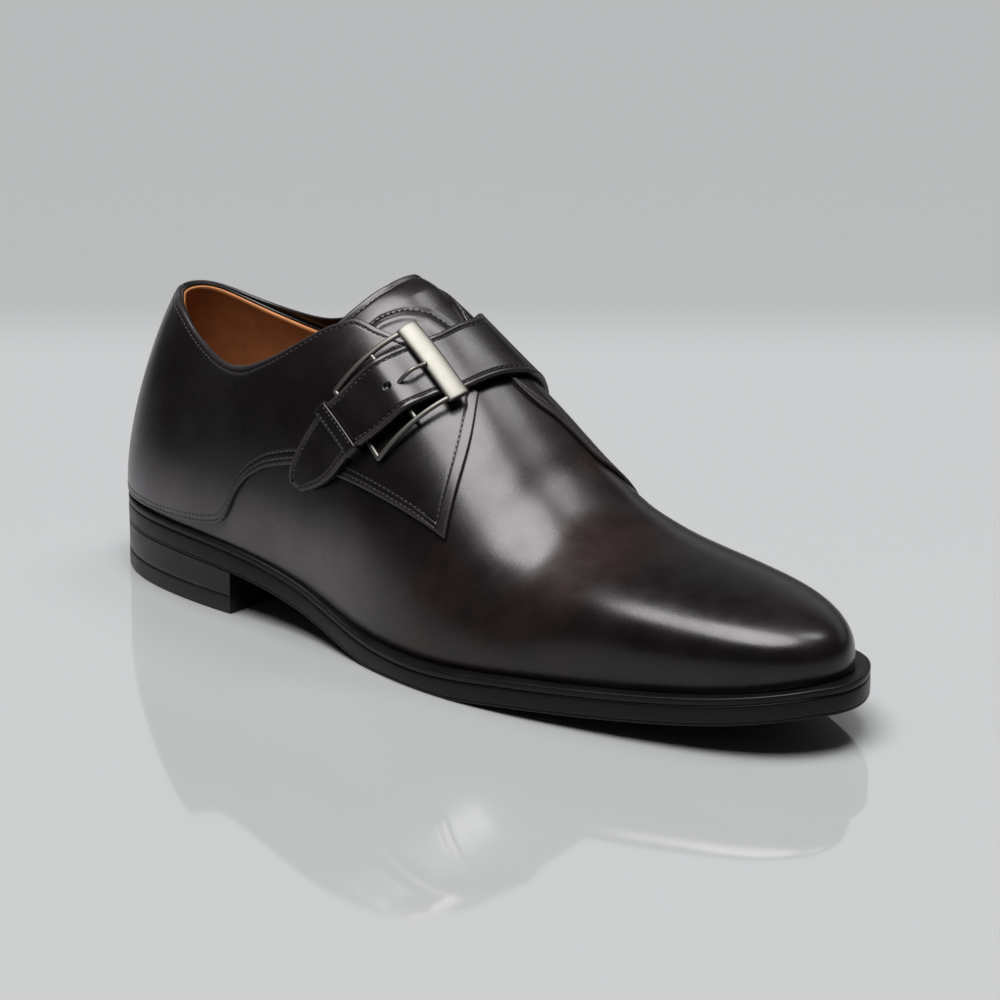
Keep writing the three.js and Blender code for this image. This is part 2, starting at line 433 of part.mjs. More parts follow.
function buildWelt() {
  const [oa, ob] = outline(null), [ia, ib] = outline(WELT_IN);
  const loop = (a, b) => [...a, ...b.slice(1, -1).reverse()];
  const O = loop(oa, ob), I = loop(ia, ib), n = O.length, pts = [], tris = [];
  const zl = x => treadZ(x) + OUTSOLE_T + GAP;
  for (let i = 0; i < n; i++) for (const [p, z] of [[O[i], topZ], [I[i], topZ], [I[i], zl], [O[i], zl]]) pts.push(V(p[0], p[1], z(p[0])));
  for (let i = 0; i < n; i++) for (let k = 0; k < 4; k++) {
    const a = i * 4 + k, b = i * 4 + (k + 1) % 4, c = ((i + 1) % n) * 4 + k, d = ((i + 1) % n) * 4 + (k + 1) % 4;
    tris.push([a, b, d], [a, d, c]);
  }
  return toGeometry(pts, tris);
}
const sole = outline(null), heelLine = sole.map(l => resample(clipAt(l, BREAST_X), 18));

// ------------------------------------------------------------------ assembly
const materials = {
  burnished_leather: new THREE.MeshStandardMaterial({ color: 0x241a18, roughness: .32, metalness: 0 }),
  strap_leather: new THREE.MeshStandardMaterial({ color: 0x2a1f1d, roughness: .38, metalness: 0 }),
  sole_leather: new THREE.MeshStandardMaterial({ color: 0x1f1d1e, roughness: .45, metalness: 0 }),
  heel_rubber: new THREE.MeshStandardMaterial({ color: 0x1a1a1b, roughness: .7, metalness: 0 }),
  lining_leather: new THREE.MeshStandardMaterial({ color: 0x9a5a28, roughness: .6, metalness: 0 }),
  buckle_metal: new THREE.MeshStandardMaterial({ color: 0xb9b6ae, roughness: .25, metalness: 1 }),
};
const group = new THREE.Group();
group.name = 'monk_strap_shoe';
const add = (name, geometry, slot) => { const m = new THREE.Mesh(geometry, materials[slot]); m.name = name; group.add(m); };

add('outsole', plate(sole, treadZ, x => treadZ(x) + OUTSOLE_T), 'sole_leather');
add('welt', buildWelt(), 'sole_leather');
add('heel_stack', plate(heelLine, () => TOP_PIECE_T + GAP, x => treadZ(x) - GAP), 'sole_leather');
add('heel_top_piece', plate(heelLine, () => 0, () => TOP_PIECE_T), 'heel_rubber');
add('insole', plate(outline(WELT_IN + GAP + .1), x => treadZ(x) + OUTSOLE_T + GAP, topZ), 'lining_leather');
add('upper', buildUpper(), 'burnished_leather');
add('tongue', buildTongue(), 'burnished_leather');
add('quarter_lateral', buildQuarter(-1), 'burnished_leather');
add('quarter_medial', buildQuarter(1), 'burnished_leather');
const prong = prongPieces(0).map(solid).reduce((a, b) => a.add(b));
const clearance = prongPieces(.3).map(solid).reduce((a, b) => a.add(b));
add('strap', fromSolid(solid(buildStrap()).subtract(clearance)), 'strap_leather');
add('buckle_frame', buildFrame(), 'buckle_metal');
add('buckle_prong', fromSolid(prong), 'buckle_metal');
add('keeper', buildKeeper(), 'strap_leather');

// origin in the middle of the footprint, sole on z = 0
const box = new THREE.Box3().setFromObject(group), mid = box.getCenter(V(0, 0, 0));
group.children.forEach(m => { m.geometry.translate(-mid.x, -mid.y, -box.min.z); m.geometry.computeVertexNormals(); });

export default group;
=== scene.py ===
import bpy, json, math
import numpy as np
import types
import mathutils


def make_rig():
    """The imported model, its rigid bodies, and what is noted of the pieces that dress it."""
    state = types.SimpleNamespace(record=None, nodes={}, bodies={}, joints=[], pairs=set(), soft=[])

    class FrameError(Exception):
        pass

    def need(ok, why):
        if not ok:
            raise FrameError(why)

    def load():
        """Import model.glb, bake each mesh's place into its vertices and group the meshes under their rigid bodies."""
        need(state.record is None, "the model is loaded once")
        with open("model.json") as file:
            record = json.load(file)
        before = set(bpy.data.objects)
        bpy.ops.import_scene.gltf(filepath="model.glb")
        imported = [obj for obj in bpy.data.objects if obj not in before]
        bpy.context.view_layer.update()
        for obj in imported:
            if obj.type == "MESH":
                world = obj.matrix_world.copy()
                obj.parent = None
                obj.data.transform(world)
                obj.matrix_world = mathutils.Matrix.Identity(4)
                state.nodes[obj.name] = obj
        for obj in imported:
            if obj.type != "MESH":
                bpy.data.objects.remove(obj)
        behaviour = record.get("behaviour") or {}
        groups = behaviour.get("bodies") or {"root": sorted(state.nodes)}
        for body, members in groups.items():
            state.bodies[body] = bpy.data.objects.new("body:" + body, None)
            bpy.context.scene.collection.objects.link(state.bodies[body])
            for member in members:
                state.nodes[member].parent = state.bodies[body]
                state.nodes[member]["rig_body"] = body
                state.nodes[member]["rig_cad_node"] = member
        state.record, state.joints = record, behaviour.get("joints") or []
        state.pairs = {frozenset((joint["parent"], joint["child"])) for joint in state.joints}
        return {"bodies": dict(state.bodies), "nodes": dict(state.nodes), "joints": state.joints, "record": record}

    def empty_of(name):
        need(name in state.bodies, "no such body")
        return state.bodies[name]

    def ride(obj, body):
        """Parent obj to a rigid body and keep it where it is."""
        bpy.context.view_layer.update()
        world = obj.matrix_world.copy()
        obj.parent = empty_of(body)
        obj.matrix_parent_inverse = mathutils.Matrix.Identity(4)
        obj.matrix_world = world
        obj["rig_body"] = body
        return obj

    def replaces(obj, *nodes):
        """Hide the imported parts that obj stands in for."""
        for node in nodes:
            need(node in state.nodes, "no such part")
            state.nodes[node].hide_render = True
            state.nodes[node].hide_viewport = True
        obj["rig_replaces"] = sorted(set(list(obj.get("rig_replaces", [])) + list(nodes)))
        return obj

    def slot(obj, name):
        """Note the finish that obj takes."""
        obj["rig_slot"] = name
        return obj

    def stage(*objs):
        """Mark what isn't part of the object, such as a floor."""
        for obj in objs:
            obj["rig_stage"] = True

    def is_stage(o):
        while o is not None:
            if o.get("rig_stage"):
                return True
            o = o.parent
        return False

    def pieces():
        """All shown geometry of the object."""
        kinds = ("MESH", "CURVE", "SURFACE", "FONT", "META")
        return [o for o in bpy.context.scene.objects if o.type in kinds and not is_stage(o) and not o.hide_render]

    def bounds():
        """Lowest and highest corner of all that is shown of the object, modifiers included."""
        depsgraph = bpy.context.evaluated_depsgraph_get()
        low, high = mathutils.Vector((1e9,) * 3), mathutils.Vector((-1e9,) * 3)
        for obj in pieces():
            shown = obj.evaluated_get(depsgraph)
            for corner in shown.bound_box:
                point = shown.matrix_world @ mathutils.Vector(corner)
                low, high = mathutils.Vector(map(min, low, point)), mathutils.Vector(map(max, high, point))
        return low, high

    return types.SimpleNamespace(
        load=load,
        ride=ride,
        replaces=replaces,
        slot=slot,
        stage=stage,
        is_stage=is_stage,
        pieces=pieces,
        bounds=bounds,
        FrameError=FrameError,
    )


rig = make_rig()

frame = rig.load()
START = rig.bounds()
MM = 0.001
SHIFT = np.array([149.9632, -2.6012, 0.0])          # from last coordinates (heel at x 0) to the frame, mm

# ------------------------------------------------------------------ the last
GAP, WALL = 0.3, 2.0
SOLE_DEPTH = 9.6
BREAST_X = 72.0
XH, XT, SOFT = 30.0, 252.0, 7.0
LAST = np.array([
    [0, -1.5, 1.5, 3.3, .301, .303], [5, -16, 1.5, 2.6, .25, .427], [18, -28, 1.5, 2.6, .25, .427], [42, -35.5, 1.5, 2.6, .25, .427],
    [72, -37.5, 1.5, 4.0, .36, .22], [105, -37.5, 2.0, 5.0, .38, .24], [135, -42.5, 3.0, 5.0, .42, .32], [165, -46, 4.5, 3.5, .46, .34],
    [195, -44.6, 5.0, 2.5, .50, .32], [222, -40.4, 5.0, 2.0, .66, .08], [250, -34, 5.0, 2.0, .68, .06], [275, -25.5, 5.0, 2.0, .68, .06],
    [290, -15.2, 5.0, 2.0, .68, .08], [297, 0.2, 5.0, 2.0, .68, .12], [290, 15.4, 5.0, 1.5, .68, .18], [275, 26.2, 5.0, 1.5, .68, .18],
    [250, 35, 5.0, 2.0, .62, .22], [215, 40.6, 5.0, 2.5, .50, .30], [185, 38.4, 4.0, 4.0, .46, .30], [150, 31, 2.0, 6.0, .42, .28],
    [115, 26.6, 1.5, 6.5, .38, .24], [74, 29.5, 1.5, 4.5, .36, .22], [42, 30, 1.5, 4.0, .353, .18], [18, 24, 1.5, 4.0, .353, .18],
    [5, 13, 1.5, 4.0, .353, .18]], float)
TOE_ROW = 13
FEATHER = [[0, 24.8], [18, 25.2], [42, 25.4], [72, 24.0], [105, 17.8], [135, 10.6], [150, 9.2], [165, 8.9], [185, 10.2], [195, 11.2],
           [222, 13.6], [250, 16.3], [275, 19.4], [290, 21.8], [297, 22.9]]
RIDGE = [[30, 5.5, 105.4], [60, 5.6, 103.5], [90, 9, 112.1], [108, 11.5, 112.5], [125, 13, 105], [145, 13.8, 92], [165, 13.6, 78.5],
         [190, 12, 59.7], [215, 10, 49.6], [235, 7.8, 46.6], [252, 5.8, 44.6]]
COLLAR = [[0, 95.4, 95.4], [8, 93.8, 93.8], [13, 92.9, 92.9], [18, 92.8, 90.6], [25, 91.6, 87.3], [36, 86, 84], [45, 82.1, 82.3],
  [62, 78.1, 80.8], [80, 81.2, 84.4], [92, 88.3, 88], [102, 95.4, 91.6], [112, 97, 99.5], [122, 102, 104]]
THROAT_X, THROAT_OUT, THROAT_IN = 136, (101, .355), (107, .33)
TONGUE_TOP = [[-.36, 98.2], [-.30, 99.6], [-.20, 103.6], [-.10, 106.4], [0, 107.6], [.10, 108], [.20, 108.2], [.31, 108.4]]
Q_OUT_LOW = [[0, .985], [58, .985], [67, .975], [71, .94], [74, .86], [79, .795], [87, .75], [100, .715], [116, .69], [141, .64], [167, .59]]
Q_IN_LOW = [[0, .985], [60, .985], [71, .975], [75, .94], [78, .86], [84, .795], [93, .75], [108, .715], [130, .69], [160, .65], [188, .60]]
Q_OUT_UP = [[102, .352], [106, .308], [115, .325], [125, .30], [140, .22], [151.5, .165]]
Q_IN_UP = [[108, .33], [112, .315], [117, .285], [121, .22], [124.5, .13], [129, .06], [136, .02], [142, .0], [150, -.04]]
Q_OUT_FRONT = [[167, .59], [164.3, .46], [159.5, .30], [151.5, .165]]
Q_IN_FRONT = [[188, .60], [188.5, .45], [187.5, .30], [185.5, .18], [182, .10], [174, .045], [164, -.02], [150, -.04]]
STRAP = np.array([
    [121, .34, 153, .33, 1.95], [126, .20, 154.5, .19, 1.95], [131, .08, 155, .07, 1.95], [133, .01, 154, .0, 1.95],
    [132, -.07, 151.5, -.08, 1.95], [131, -.14, 148.5, -.20, 1.95], [127.8, -.21, 144.5, -.26, 1.95],
    [124.8, -.27, 142, -.31, 3.0], [121.8, -.33, 139.2, -.365, 4.95], [118.2, -.395, 135.8, -.43, 4.4], [114.6, -.46, 131.6, -.495, 4.2],
    [110.3, -.51, 126.5, -.55, 3.2], [105.5, -.58, 122, -.61, 2.1], [102.3, -.64, 118, -.66, 1.95],
    [100.6, -.69, 112.5, -.70, 1.95], [101.6, -.722, 107, -.728, 1.95]])
FRONT_UP, FRONT_LOW, REAR_UP, REAR_LOW = (124.5, -.205, 5.5), (148.4, -.238, 5.5), (111.6, -.46, 3.0), (135.5, -.525, 3.0)
HINGE = ((118.4, -.325, 3.75), (142.6, -.372, 3.75))


class Spline:
    def __init__(s, xs, ys):
        s.x = np.asarray(xs, float); s.y = np.asarray(ys, float); n = len(s.x)
        h = np.diff(s.x); a = np.zeros(n); b = np.ones(n); c = np.zeros(n); d = np.zeros(n)
        for i in range(1, n - 1):
            a[i] = h[i - 1]; b[i] = 2 * (h[i - 1] + h[i]); c[i] = h[i]
            d[i] = 6 * ((s.y[i + 1] - s.y[i]) / h[i] - (s.y[i] - s.y[i - 1]) / h[i - 1])
        for i in range(1, n):
            w = a[i] / b[i - 1]; b[i] -= w * c[i - 1]; d[i] -= w * d[i - 1]
        m = np.zeros(n); m[-1] = d[-1] / b[-1]
        for i in range(n - 2, -1, -1):
            m[i] = (d[i] - c[i] * m[i + 1]) / b[i]
        s.m, s.h = m, h

    def __call__(s, t):
        t = np.asarray(t, float); tc = np.clip(t, s.x[0], s.x[-1])
        i = np.clip(np.searchsorted(s.x, tc, side='right') - 1, 0, len(s.x) - 2)
        h = s.h[i]; A = (s.x[i + 1] - tc) / h; B = (tc - s.x[i]) / h
        v = A * s.y[i] + B * s.y[i + 1] + ((A**3 - A) * s.m[i] + (B**3 - B) * s.m[i + 1]) * h * h / 6
        s0 = (s.y[1] - s.y[0]) / s.h[0] - s.h[0] * s.m[1] / 6 - s.h[0] * s.m[0] / 3
        s1 = (s.y[-1] - s.y[-2]) / s.h[-1] + s.h[-1] * s.m[-2] / 6 + s.h[-1] * s.m[-1] / 3
        return v + np.where(t < s.x[0], (t - s.x[0]) * s0, 0) + np.where(t > s.x[-1], (t - s.x[-1]) * s1, 0)


def tab(T, k=1):
    T = np.asarray(T, float)
    return Spline(T[:, 0], T[:, k])


def poly(T, x, k=1):
    T = np.asarray(T, float)
    return np.interp(x, T[:, 0], T[:, k])


def smooth_poly(T, n=400, r=3.0):
    """a look-up table with its corners eased"""
    T = np.asarray(T, float); x = np.linspace(T[0, 0], T[-1, 0], n); y = np.interp(x, T[:, 0], T[:, 1])
    k = max(1, int(r / (x[1] - x[0]))); ker = np.hanning(2 * k + 3)[1:-1]; ker /= ker.sum()
    pad = len(ker) // 2
    ye = np.concatenate([2 * y[0] - y[1:pad + 1][::-1], y, 2 * y[-1] - y[-pad - 1:-1][::-1]])
    ys = np.convolve(ye, ker, 'valid')
    ys[0], ys[-1] = y[0], y[-1]
    return lambda q: np.interp(q, x, ys)


_d = np.linalg.norm(np.roll(LAST[:, :2], -1, 0) - LAST[:, :2], axis=1)**0.75
LT = np.r_[0, np.cumsum(_d)]
LOOP, TOE_T = LT[-1], LT[TOE_ROW]
_tt = np.concatenate([LT[:-1] - LOOP, LT[:-1], LT[:-1] + LOOP, [2 * LOOP]])
_RR = np.concatenate([LAST, LAST, LAST, LAST[:1]])
cX, cY, cEdge, cBulge, cWall, cShoulder = [Spline(_tt, _RR[:, k]) for k in range(6)]
feather, ridgeY, ridgeZ = tab(FEATHER), tab(RIDGE, 1), tab(RIDGE, 2)
collarOut, collarIn = tab(COLLAR, 1), tab(COLLAR, 2)


def ridge_station(x):
    lo = XH + np.logaddexp(0, (x - XH) / SOFT) * SOFT
    return XT - np.logaddexp(0, (XT - lo) / SOFT) * SOFT


def ridge_slope(xr):
    return ridgeZ(xr + .5) - ridgeZ(xr - .5)


def S(t, v):
    t, v = np.broadcast_arrays(np.asarray(t, float), np.asarray(v, float))
    x, y, b, wall, sh = cX(t), cY(t), cBulge(t), cWall(t), cShoulder(t)
    z = feather(x); xr = ridge_station(x); m = ridge_slope(xr)
    dx, dy = xr - x, ridgeY(xr) - y; W = np.hypot(dx, dy); ux, uy = dx / W, dy / W; H = ridgeZ(xr) - z
    a = 3 * v * (1 - v)**2; c = 3 * v * v * (1 - v); e = v**3
    s = -a * b + c * sh * W + e * W; h = a * wall * H + c * (H - (1 - sh) * W * m * ux) + e * H
    return np.stack([x + ux * s, y + uy * s, z + h], -1)


def normal(t, v):
    t, v = np.broadcast_arrays(np.asarray(t, float), np.asarray(v, float))
    e, f = .12, .003
    n = np.cross(S(t + e, v) - S(t - e, v), S(t, v + f) - S(t, v - f))
    n /= np.linalg.norm(n, axis=-1, keepdims=True) + 1e-12
    m = ridge_slope(ridge_station(cX(t))); r = np.stack([-m, 0 * m, 1 + 0 * m], -1); r /= np.linalg.norm(r, axis=-1, keepdims=True)
    k = np.clip((v - .985) / .013, 0, 1)[..., None]
    n = n * (1 - k) + r * k
    return n / np.linalg.norm(n, axis=-1, keepdims=True)


def P(t, v, h=0.0):
    return S(t, v) + normal(t, v) * np.asarray(h, float)[..., None] if np.ndim(h) else S(t, v) + normal(t, v) * h


_T = np.linspace(0, TOE_T, 6000); _XL = np.maximum.accumulate(cX(_T))
_T2 = np.linspace(LOOP, TOE_T, 6000); _XM = np.maximum.accumulate(cX(_T2))


def t_of(x, side):
    """loop parameter of station x, side < 0 outer, > 0 inner"""
    return np.where(np.asarray(side) < 0, np.interp(x, _XL, _T), np.interp(x, _XM, _T2))


def Q(x, w, h=0.0):
    x, w, h = np.broadcast_arrays(np.asarray(x, float), np.asarray(w, float), np.asarray(h, float))
    return P(t_of(x, np.where(w < 0, -1, 1)), 1 - np.abs(w), h)


def Qn(x, w):
    x, w = np.broadcast_arrays(np.asarray(x, float), np.asarray(w, float))
    return normal(t_of(x, np.where(w < 0, -1, 1)), 1 - np.abs(w))


def collar_v(t, side):
    c = collarOut if side < 0 else collarIn
    t = np.atleast_1d(np.asarray(t, float)); out = np.ones(len(t)); vs = np.linspace(0, 1, 161)
    for i, ti in enumerate(t):
        p = S(np.full(161, ti), vs); f = p[:, 2] - c(p[:, 0]); k = np.where(f > 0)[0]
        if len(k) and k[0] > 0:
            j = k[0]; out[i] = vs[j - 1] + (vs[j] - vs[j - 1]) * (-f[j - 1]) / (f[j] - f[j - 1])
    return out


# ------------------------------------------------------------- mesh building
def make(name, verts, faces, mat, slot, rides=True, smooth=True, sharp=None, rim=None):
    me = bpy.data.meshes.new(name)
    co = (np.asarray(verts, float) - SHIFT) * MM
    me.from_pydata(co.tolist(), [], [tuple(int(i) for i in f) for f in faces])
    me.validate(); me.update()
    ob = bpy.data.objects.new(name, me); bpy.context.scene.collection.objects.link(ob)
    if smooth:
        me.polygons.foreach_set('use_smooth', [True] * len(me.polygons))
    me.materials.append(mat)
    at = me.attributes.new('rim', 'FLOAT', 'POINT')
    at.data.foreach_set('value', np.zeros(len(me.vertices)) if rim is None or len(rim) != len(me.vertices) else np.asarray(rim, float))
    import bmesh
    bm = bmesh.new(); bm.from_mesh(me)
    bmesh.ops.remove_doubles(bm, verts=bm.verts, dist=2e-6)
    bmesh.ops.dissolve_degenerate(bm, edges=bm.edges, dist=1e-6)
    bmesh.ops.recalc_face_normals(bm, faces=bm.faces)
    if bm.calc_volume() < 0:
        bmesh.ops.reverse_faces(bm, faces=bm.faces)
    if sharp:
        for e in bm.edges:
            if len(e.link_faces) == 2 and e.calc_face_angle(0) > math.radians(sharp):
                e.smooth = False
    bm.to_mesh(me); bm.free(); me.update()
    if rides:
        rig.ride(ob, "root"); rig.slot(ob, slot)
    return ob


def grid_faces(n, m, off=0, flip=False, wrap=False):
    i = np.arange(n if wrap else n - 1)[:, None]; j = np.arange(m - 1)[None, :]; i2 = (i + 1) % n
    a = i * m + j; b = i2 * m + j; c = i2 * m + j + 1; d = i * m + j + 1
    f = np.stack([a + 0 * b, b + 0 * a, c + 0 * a, d + 0 * b], -1).reshape(-1, 4) + off
    return f[:, ::-1] if flip else f


def closed_sheet(top, bot):
    """closed body between two grids of the same shape"""
    n, m = top.shape[:2]; V = np.concatenate([top.reshape(-1, 3), bot.reshape(-1, 3)]); o = n * m
    F = [grid_faces(n, m), grid_faces(n, m, o, True)]
    rim = [i * m for i in range(n)] + [(n - 1) * m + j for j in range(1, m)] + [i * m + m - 1 for i in range(n - 2, -1, -1)] + [j for j in range(m - 2, 0, -1)]
    r = np.array(rim); r2 = np.roll(r, -1)
    F.append(np.stack([r, r + o, r2 + o, r2], -1))
    return V, np.concatenate(F)


def edge_profile(r=0.7, stitches=(), depth=.22, width=.34, lift=0.0, lift_w=3.0):
    """height lost near an edge at distance d: a rounded rim, a groove under each stitch row, and a soft swell between"""
    def f(d):
        q = np.clip(r - d, 0, r); out = r - np.sqrt(np.maximum(r * r - q * q, 0))
        for s in stitches:
            out = out + depth * np.exp(-((d - s) / width)**2)
        if lift:
            out = out - lift * np.exp(-((d - lift_w * .5) / (lift_w * .28))**2)
        return out
    return f


D_ROWS = [0, .1, .25, .45, .7, 1.0, 1.4, 1.8, 2.1, 2.35, 2.6, 2.85, 3.1, 3.5, 4.0, 4.35, 4.6, 4.85, 5.2, 5.9]


def band_value(d, inner=1.7):
    """1 on the rim of a piece, where the lighter rim colour paints an edge highlight, 0 on its face"""
    return np.clip((inner - d) / .35, 0, 1) * np.clip((d + .1) / .3, 0, 1)


def rounded_sheet(F, nu, nv, hb, ht, prof, edges, extra=None, band=None):
    """F(u, v, h) -> points. edges: which of u0 u1 v0 v1 are free edges"""
    uu = np.linspace(0, 1, 60)
    Lu = lambda v: np.linalg.norm(np.diff(F(uu, np.full(60, v), 0), axis=0), axis=1).sum()
    Lv = lambda u: np.linalg.norm(np.diff(F(np.full(60, u), uu, 0), axis=0), axis=1).sum()
    vs0 = np.linspace(0, 1, 25); LU = np.interp(np.linspace(0, 1, 25), vs0, [Lu(v) for v in vs0])
    us0 = np.linspace(0, 1, 25); LV = np.array([Lv(u) for u in us0])
    lu = lambda v: np.interp(v, vs0, LU); lv = lambda u: np.interp(u, us0, LV)

    def rows(n, a, b, L):
        D = [d for d in D_ROWS if d < L * .45] or [0]
        lo = [d / L for d in D] if a in edges else [0]
        hi = [1 - d / L for d in D] if b in edges else [1]
        mid = list(np.linspace(lo[-1], hi[-1], n + 1)[1:-1])
        return np.array(lo + mid + hi[::-1])
    Dn = max(1.0, float(np.median(LU))), max(1.0, float(np.median(LV)))
    ur = rows(nu, 'u0', 'u1', Dn[0]); vr = rows(nv, 'v0', 'v1', Dn[1])
    # distances of rows stay true where the sheet is longer or shorter than the median
    def place(r, L, Lm, a, b):
        out = r.copy(); lo = r < .5
        da = r * Lm; db = (1 - r) * Lm; k = 8.0
        sa = np.clip(1 - da / k, 0, 1) if a in edges else 0 * r
        sb = np.clip(1 - db / k, 0, 1) if b in edges else 0 * r
        ta = np.minimum(da / L, .48); tb = 1 - np.minimum(db / L, .48)
        out = r * (1 - sa) * (1 - sb) + ta * sa + tb * sb
        return np.maximum.accumulate(out)
    U = np.zeros((len(ur), len(vr))); Vv = np.zeros_like(U)
    for j, v in enumerate(vr):
        U[:, j] = place(ur, max(float(lu(v)), 3.0), Dn[0], 'u0', 'u1')
    for i, u in enumerate(ur):
        Vv[i] = place(vr, max(float(lv(u)), 3.0), Dn[1], 'v0', 'v1')
    d = np.full(U.shape, 1e3)
    if 'u0' in edges: d = np.minimum(d, U * lu(Vv))
    if 'u1' in edges: d = np.minimum(d, (1 - U) * lu(Vv))
    if 'v0' in edges: d = np.minimum(d, Vv * lv(U))
    if 'v1' in edges: d = np.minimum(d, (1 - Vv) * lv(U))
    h = ht - prof(d)
    if extra is not None:
        h = h + extra(U, Vv, d)
    global RIM
    sh = U.shape; RIM = np.concatenate([(band_value(d) if band is None else band(d, U, Vv)).ravel(), np.zeros(U.size)])
    top = F(U.ravel(), Vv.ravel(), h.ravel()).reshape(*sh, 3)
    bot = F(U.ravel(), Vv.ravel(), np.full(U.size, hb)).reshape(*sh, 3)
    return closed_sheet(top, bot)


def frames(path, up, closed=False):
    if closed:
        T = np.roll(path, -1, 0) - np.roll(path, 1, 0)
    else:
        T = np.gradient(path, axis=0)
    T /= np.linalg.norm(T, axis=1, keepdims=True); B = np.cross(T, up); B /= np.linalg.norm(B, axis=1, keepdims=True)
    return T, B, np.cross(B, T)


def section(n, hw, ht, p=4.0):
    """rounded-rectangle section"""
    a = np.linspace(0, 2 * np.pi, n, endpoint=False) + np.pi / n; c, s = np.cos(a), np.sin(a)
    return np.stack([np.sign(c) * np.abs(c)**(2 / p) * hw, np.sign(s) * np.abs(s)**(2 / p) * ht], -1)


def sweep(path, up, hw, ht, n=16, p=4.0, closed=False, round_ends=0.0):
    """smooth bar along a path; hw, ht numbers or arrays"""
    path = np.asarray(path, float); up = np.asarray(up, float); N = len(path)
    hw = np.broadcast_to(hw, (N,)).astype(float); ht = np.broadcast_to(ht, (N,)).astype(float)
    if round_ends and not closed:
        T, _, _ = frames(path, up); k = 6; pre, post = [], []
        for q in range(k):
            a = (k - q) / k * np.pi / 2; pre.append((-np.sin(a) * round_ends, np.cos(a)))
        A = [path[0] + T[0] * o for o, _ in pre]; Bp = [path[-1] - T[-1] * o for o, _ in pre[::-1]]
        hw = np.r_[[hw[0] * max(s, .05) for _, s in pre], hw, [hw[-1] * max(s, .05) for _, s in pre[::-1]]]
        ht = np.r_[[ht[0] * max(s, .05) for _, s in pre], ht, [ht[-1] * max(s, .05) for _, s in pre[::-1]]]
        up = np.concatenate([np.repeat(up[:1], k, 0), up, np.repeat(up[-1:], k, 0)]); path = np.concatenate([A, path, Bp]); N = len(path)
    T, B, Nn = frames(path, up, closed); V = []
    for i in range(N):
        s = section(n, hw[i], ht[i], p); V.append(path[i] + s[:, :1] * B[i] + s[:, 1:] * Nn[i])
    V = np.concatenate(V); F = []
    for i in range(N if closed else N - 1):
        for k in range(n):
            a, b = i * n + k, i * n + (k + 1) % n; c, d = ((i + 1) % N) * n + (k + 1) % n, ((i + 1) % N) * n + k
            F.append((a, b, c, d))
    if not closed:
        F.append(tuple(range(n - 1, -1, -1))); F.append(tuple((N - 1) * n + k for k in range(n)))
    return V, F


def merge(parts):
    V, F, o = [], [], 0
    for v, f in parts:
        V.append(np.asarray(v)); F += [tuple(int(i) + o for i in q) for q in f]; o += len(v)
    return np.concatenate(V), F


def resample(path, step):
    d = np.r_[0, np.cumsum(np.linalg.norm(np.diff(path, axis=0), axis=1))]; n = max(2, int(round(d[-1] / step)) + 1)
    s = np.linspace(0, d[-1], n)
    return np.stack([np.interp(s, d, path[:, k]) for k in range(path.shape[1])], -1)


def stitch_row(F, n=400, pitch=2.0, length=1.5, r=.22, lift=.05):
    """F(s) -> (point, normal) on the leather; short threads lying in a row"""
    s = np.linspace(0, 1, n); p, nn = F(s); both = resample(np.concatenate([p, nn], 1), pitch / 2)
    out = []
    for i in range(1, len(both) - 1, 2):
        p0, nrm = both[i, :3], both[i, 3:]; t = both[i + 1, :3] - both[i - 1, :3]; t /= np.linalg.norm(t) + 1e-9
        nrm = nrm / np.linalg.norm(nrm); xs = np.array([-.5, -.4, -.15, .15, .4, .5]) * length; rs = np.array([.25, .75, 1, 1, .75, .25]) * r
        hs = np.array([-.16, -.04, .04, .04, -.04, -.16]); b = np.cross(nrm, t); V, Fc = [], []
        for x, q, hh in zip(xs, rs, hs):
            for k in range(6):
                a = k * np.pi / 3; V.append(p0 + t * x + nrm * (lift + hh + np.sin(a) * q) + b * np.cos(a) * q)
        for i2 in range(5):
            for k in range(6):
                Fc.append((i2 * 6 + k, i2 * 6 + (k + 1) % 6, i2 * 6 + 6 + (k + 1) % 6, i2 * 6 + 6 + k))
        Fc.append((5, 4, 3, 2, 1, 0)); Fc.append(tuple(30 + k for k in range(6)))
        out.append((np.array(V), Fc))
    return out


# ---------------------------------------------------------------- materials
def new_mat(name):
    m = bpy.data.materials.new(name); m.use_nodes = True; nt = m.node_tree
    for n in list(nt.nodes): nt.nodes.remove(n)
    out = nt.nodes.new('ShaderNodeOutputMaterial'); bs = nt.nodes.new('ShaderNodeBsdfPrincipled')
    nt.links.new(bs.outputs[0], out.inputs[0])
    return m, nt, bs


def noise(nt, scale, detail=4, rough=.55, vec=None, dim='3D'):
    n = nt.nodes.new('ShaderNodeTexNoise'); n.inputs['Scale'].default_value = scale; n.inputs['Detail'].default_value = detail
    n.inputs['Roughness'].default_value = rough
    if vec is not None: nt.links.new(vec, n.inputs['Vector'])
    return n.outputs['Fac']


def ramp(nt, fac, stops):
    r = nt.nodes.new('ShaderNodeValToRGB'); nt.links.new(fac, r.inputs[0]); e = r.color_ramp.elements
    while len(e) < len(stops): e.new(.5)
    for el, (p, c) in zip(e, stops):
        el.position = p; el.color = (*c, 1) if len(c) == 3 else c
    return r.outputs[0]


def math_node(nt, op, a, b=None):
    n = nt.nodes.new('ShaderNodeMath'); n.operation = op
    for i, q in enumerate((a, b)):
        if q is None: continue
        if isinstance(q, (int, float)): n.inputs[i].default_value = q
        else: nt.links.new(q, n.inputs[i])
    return n.outputs[0]


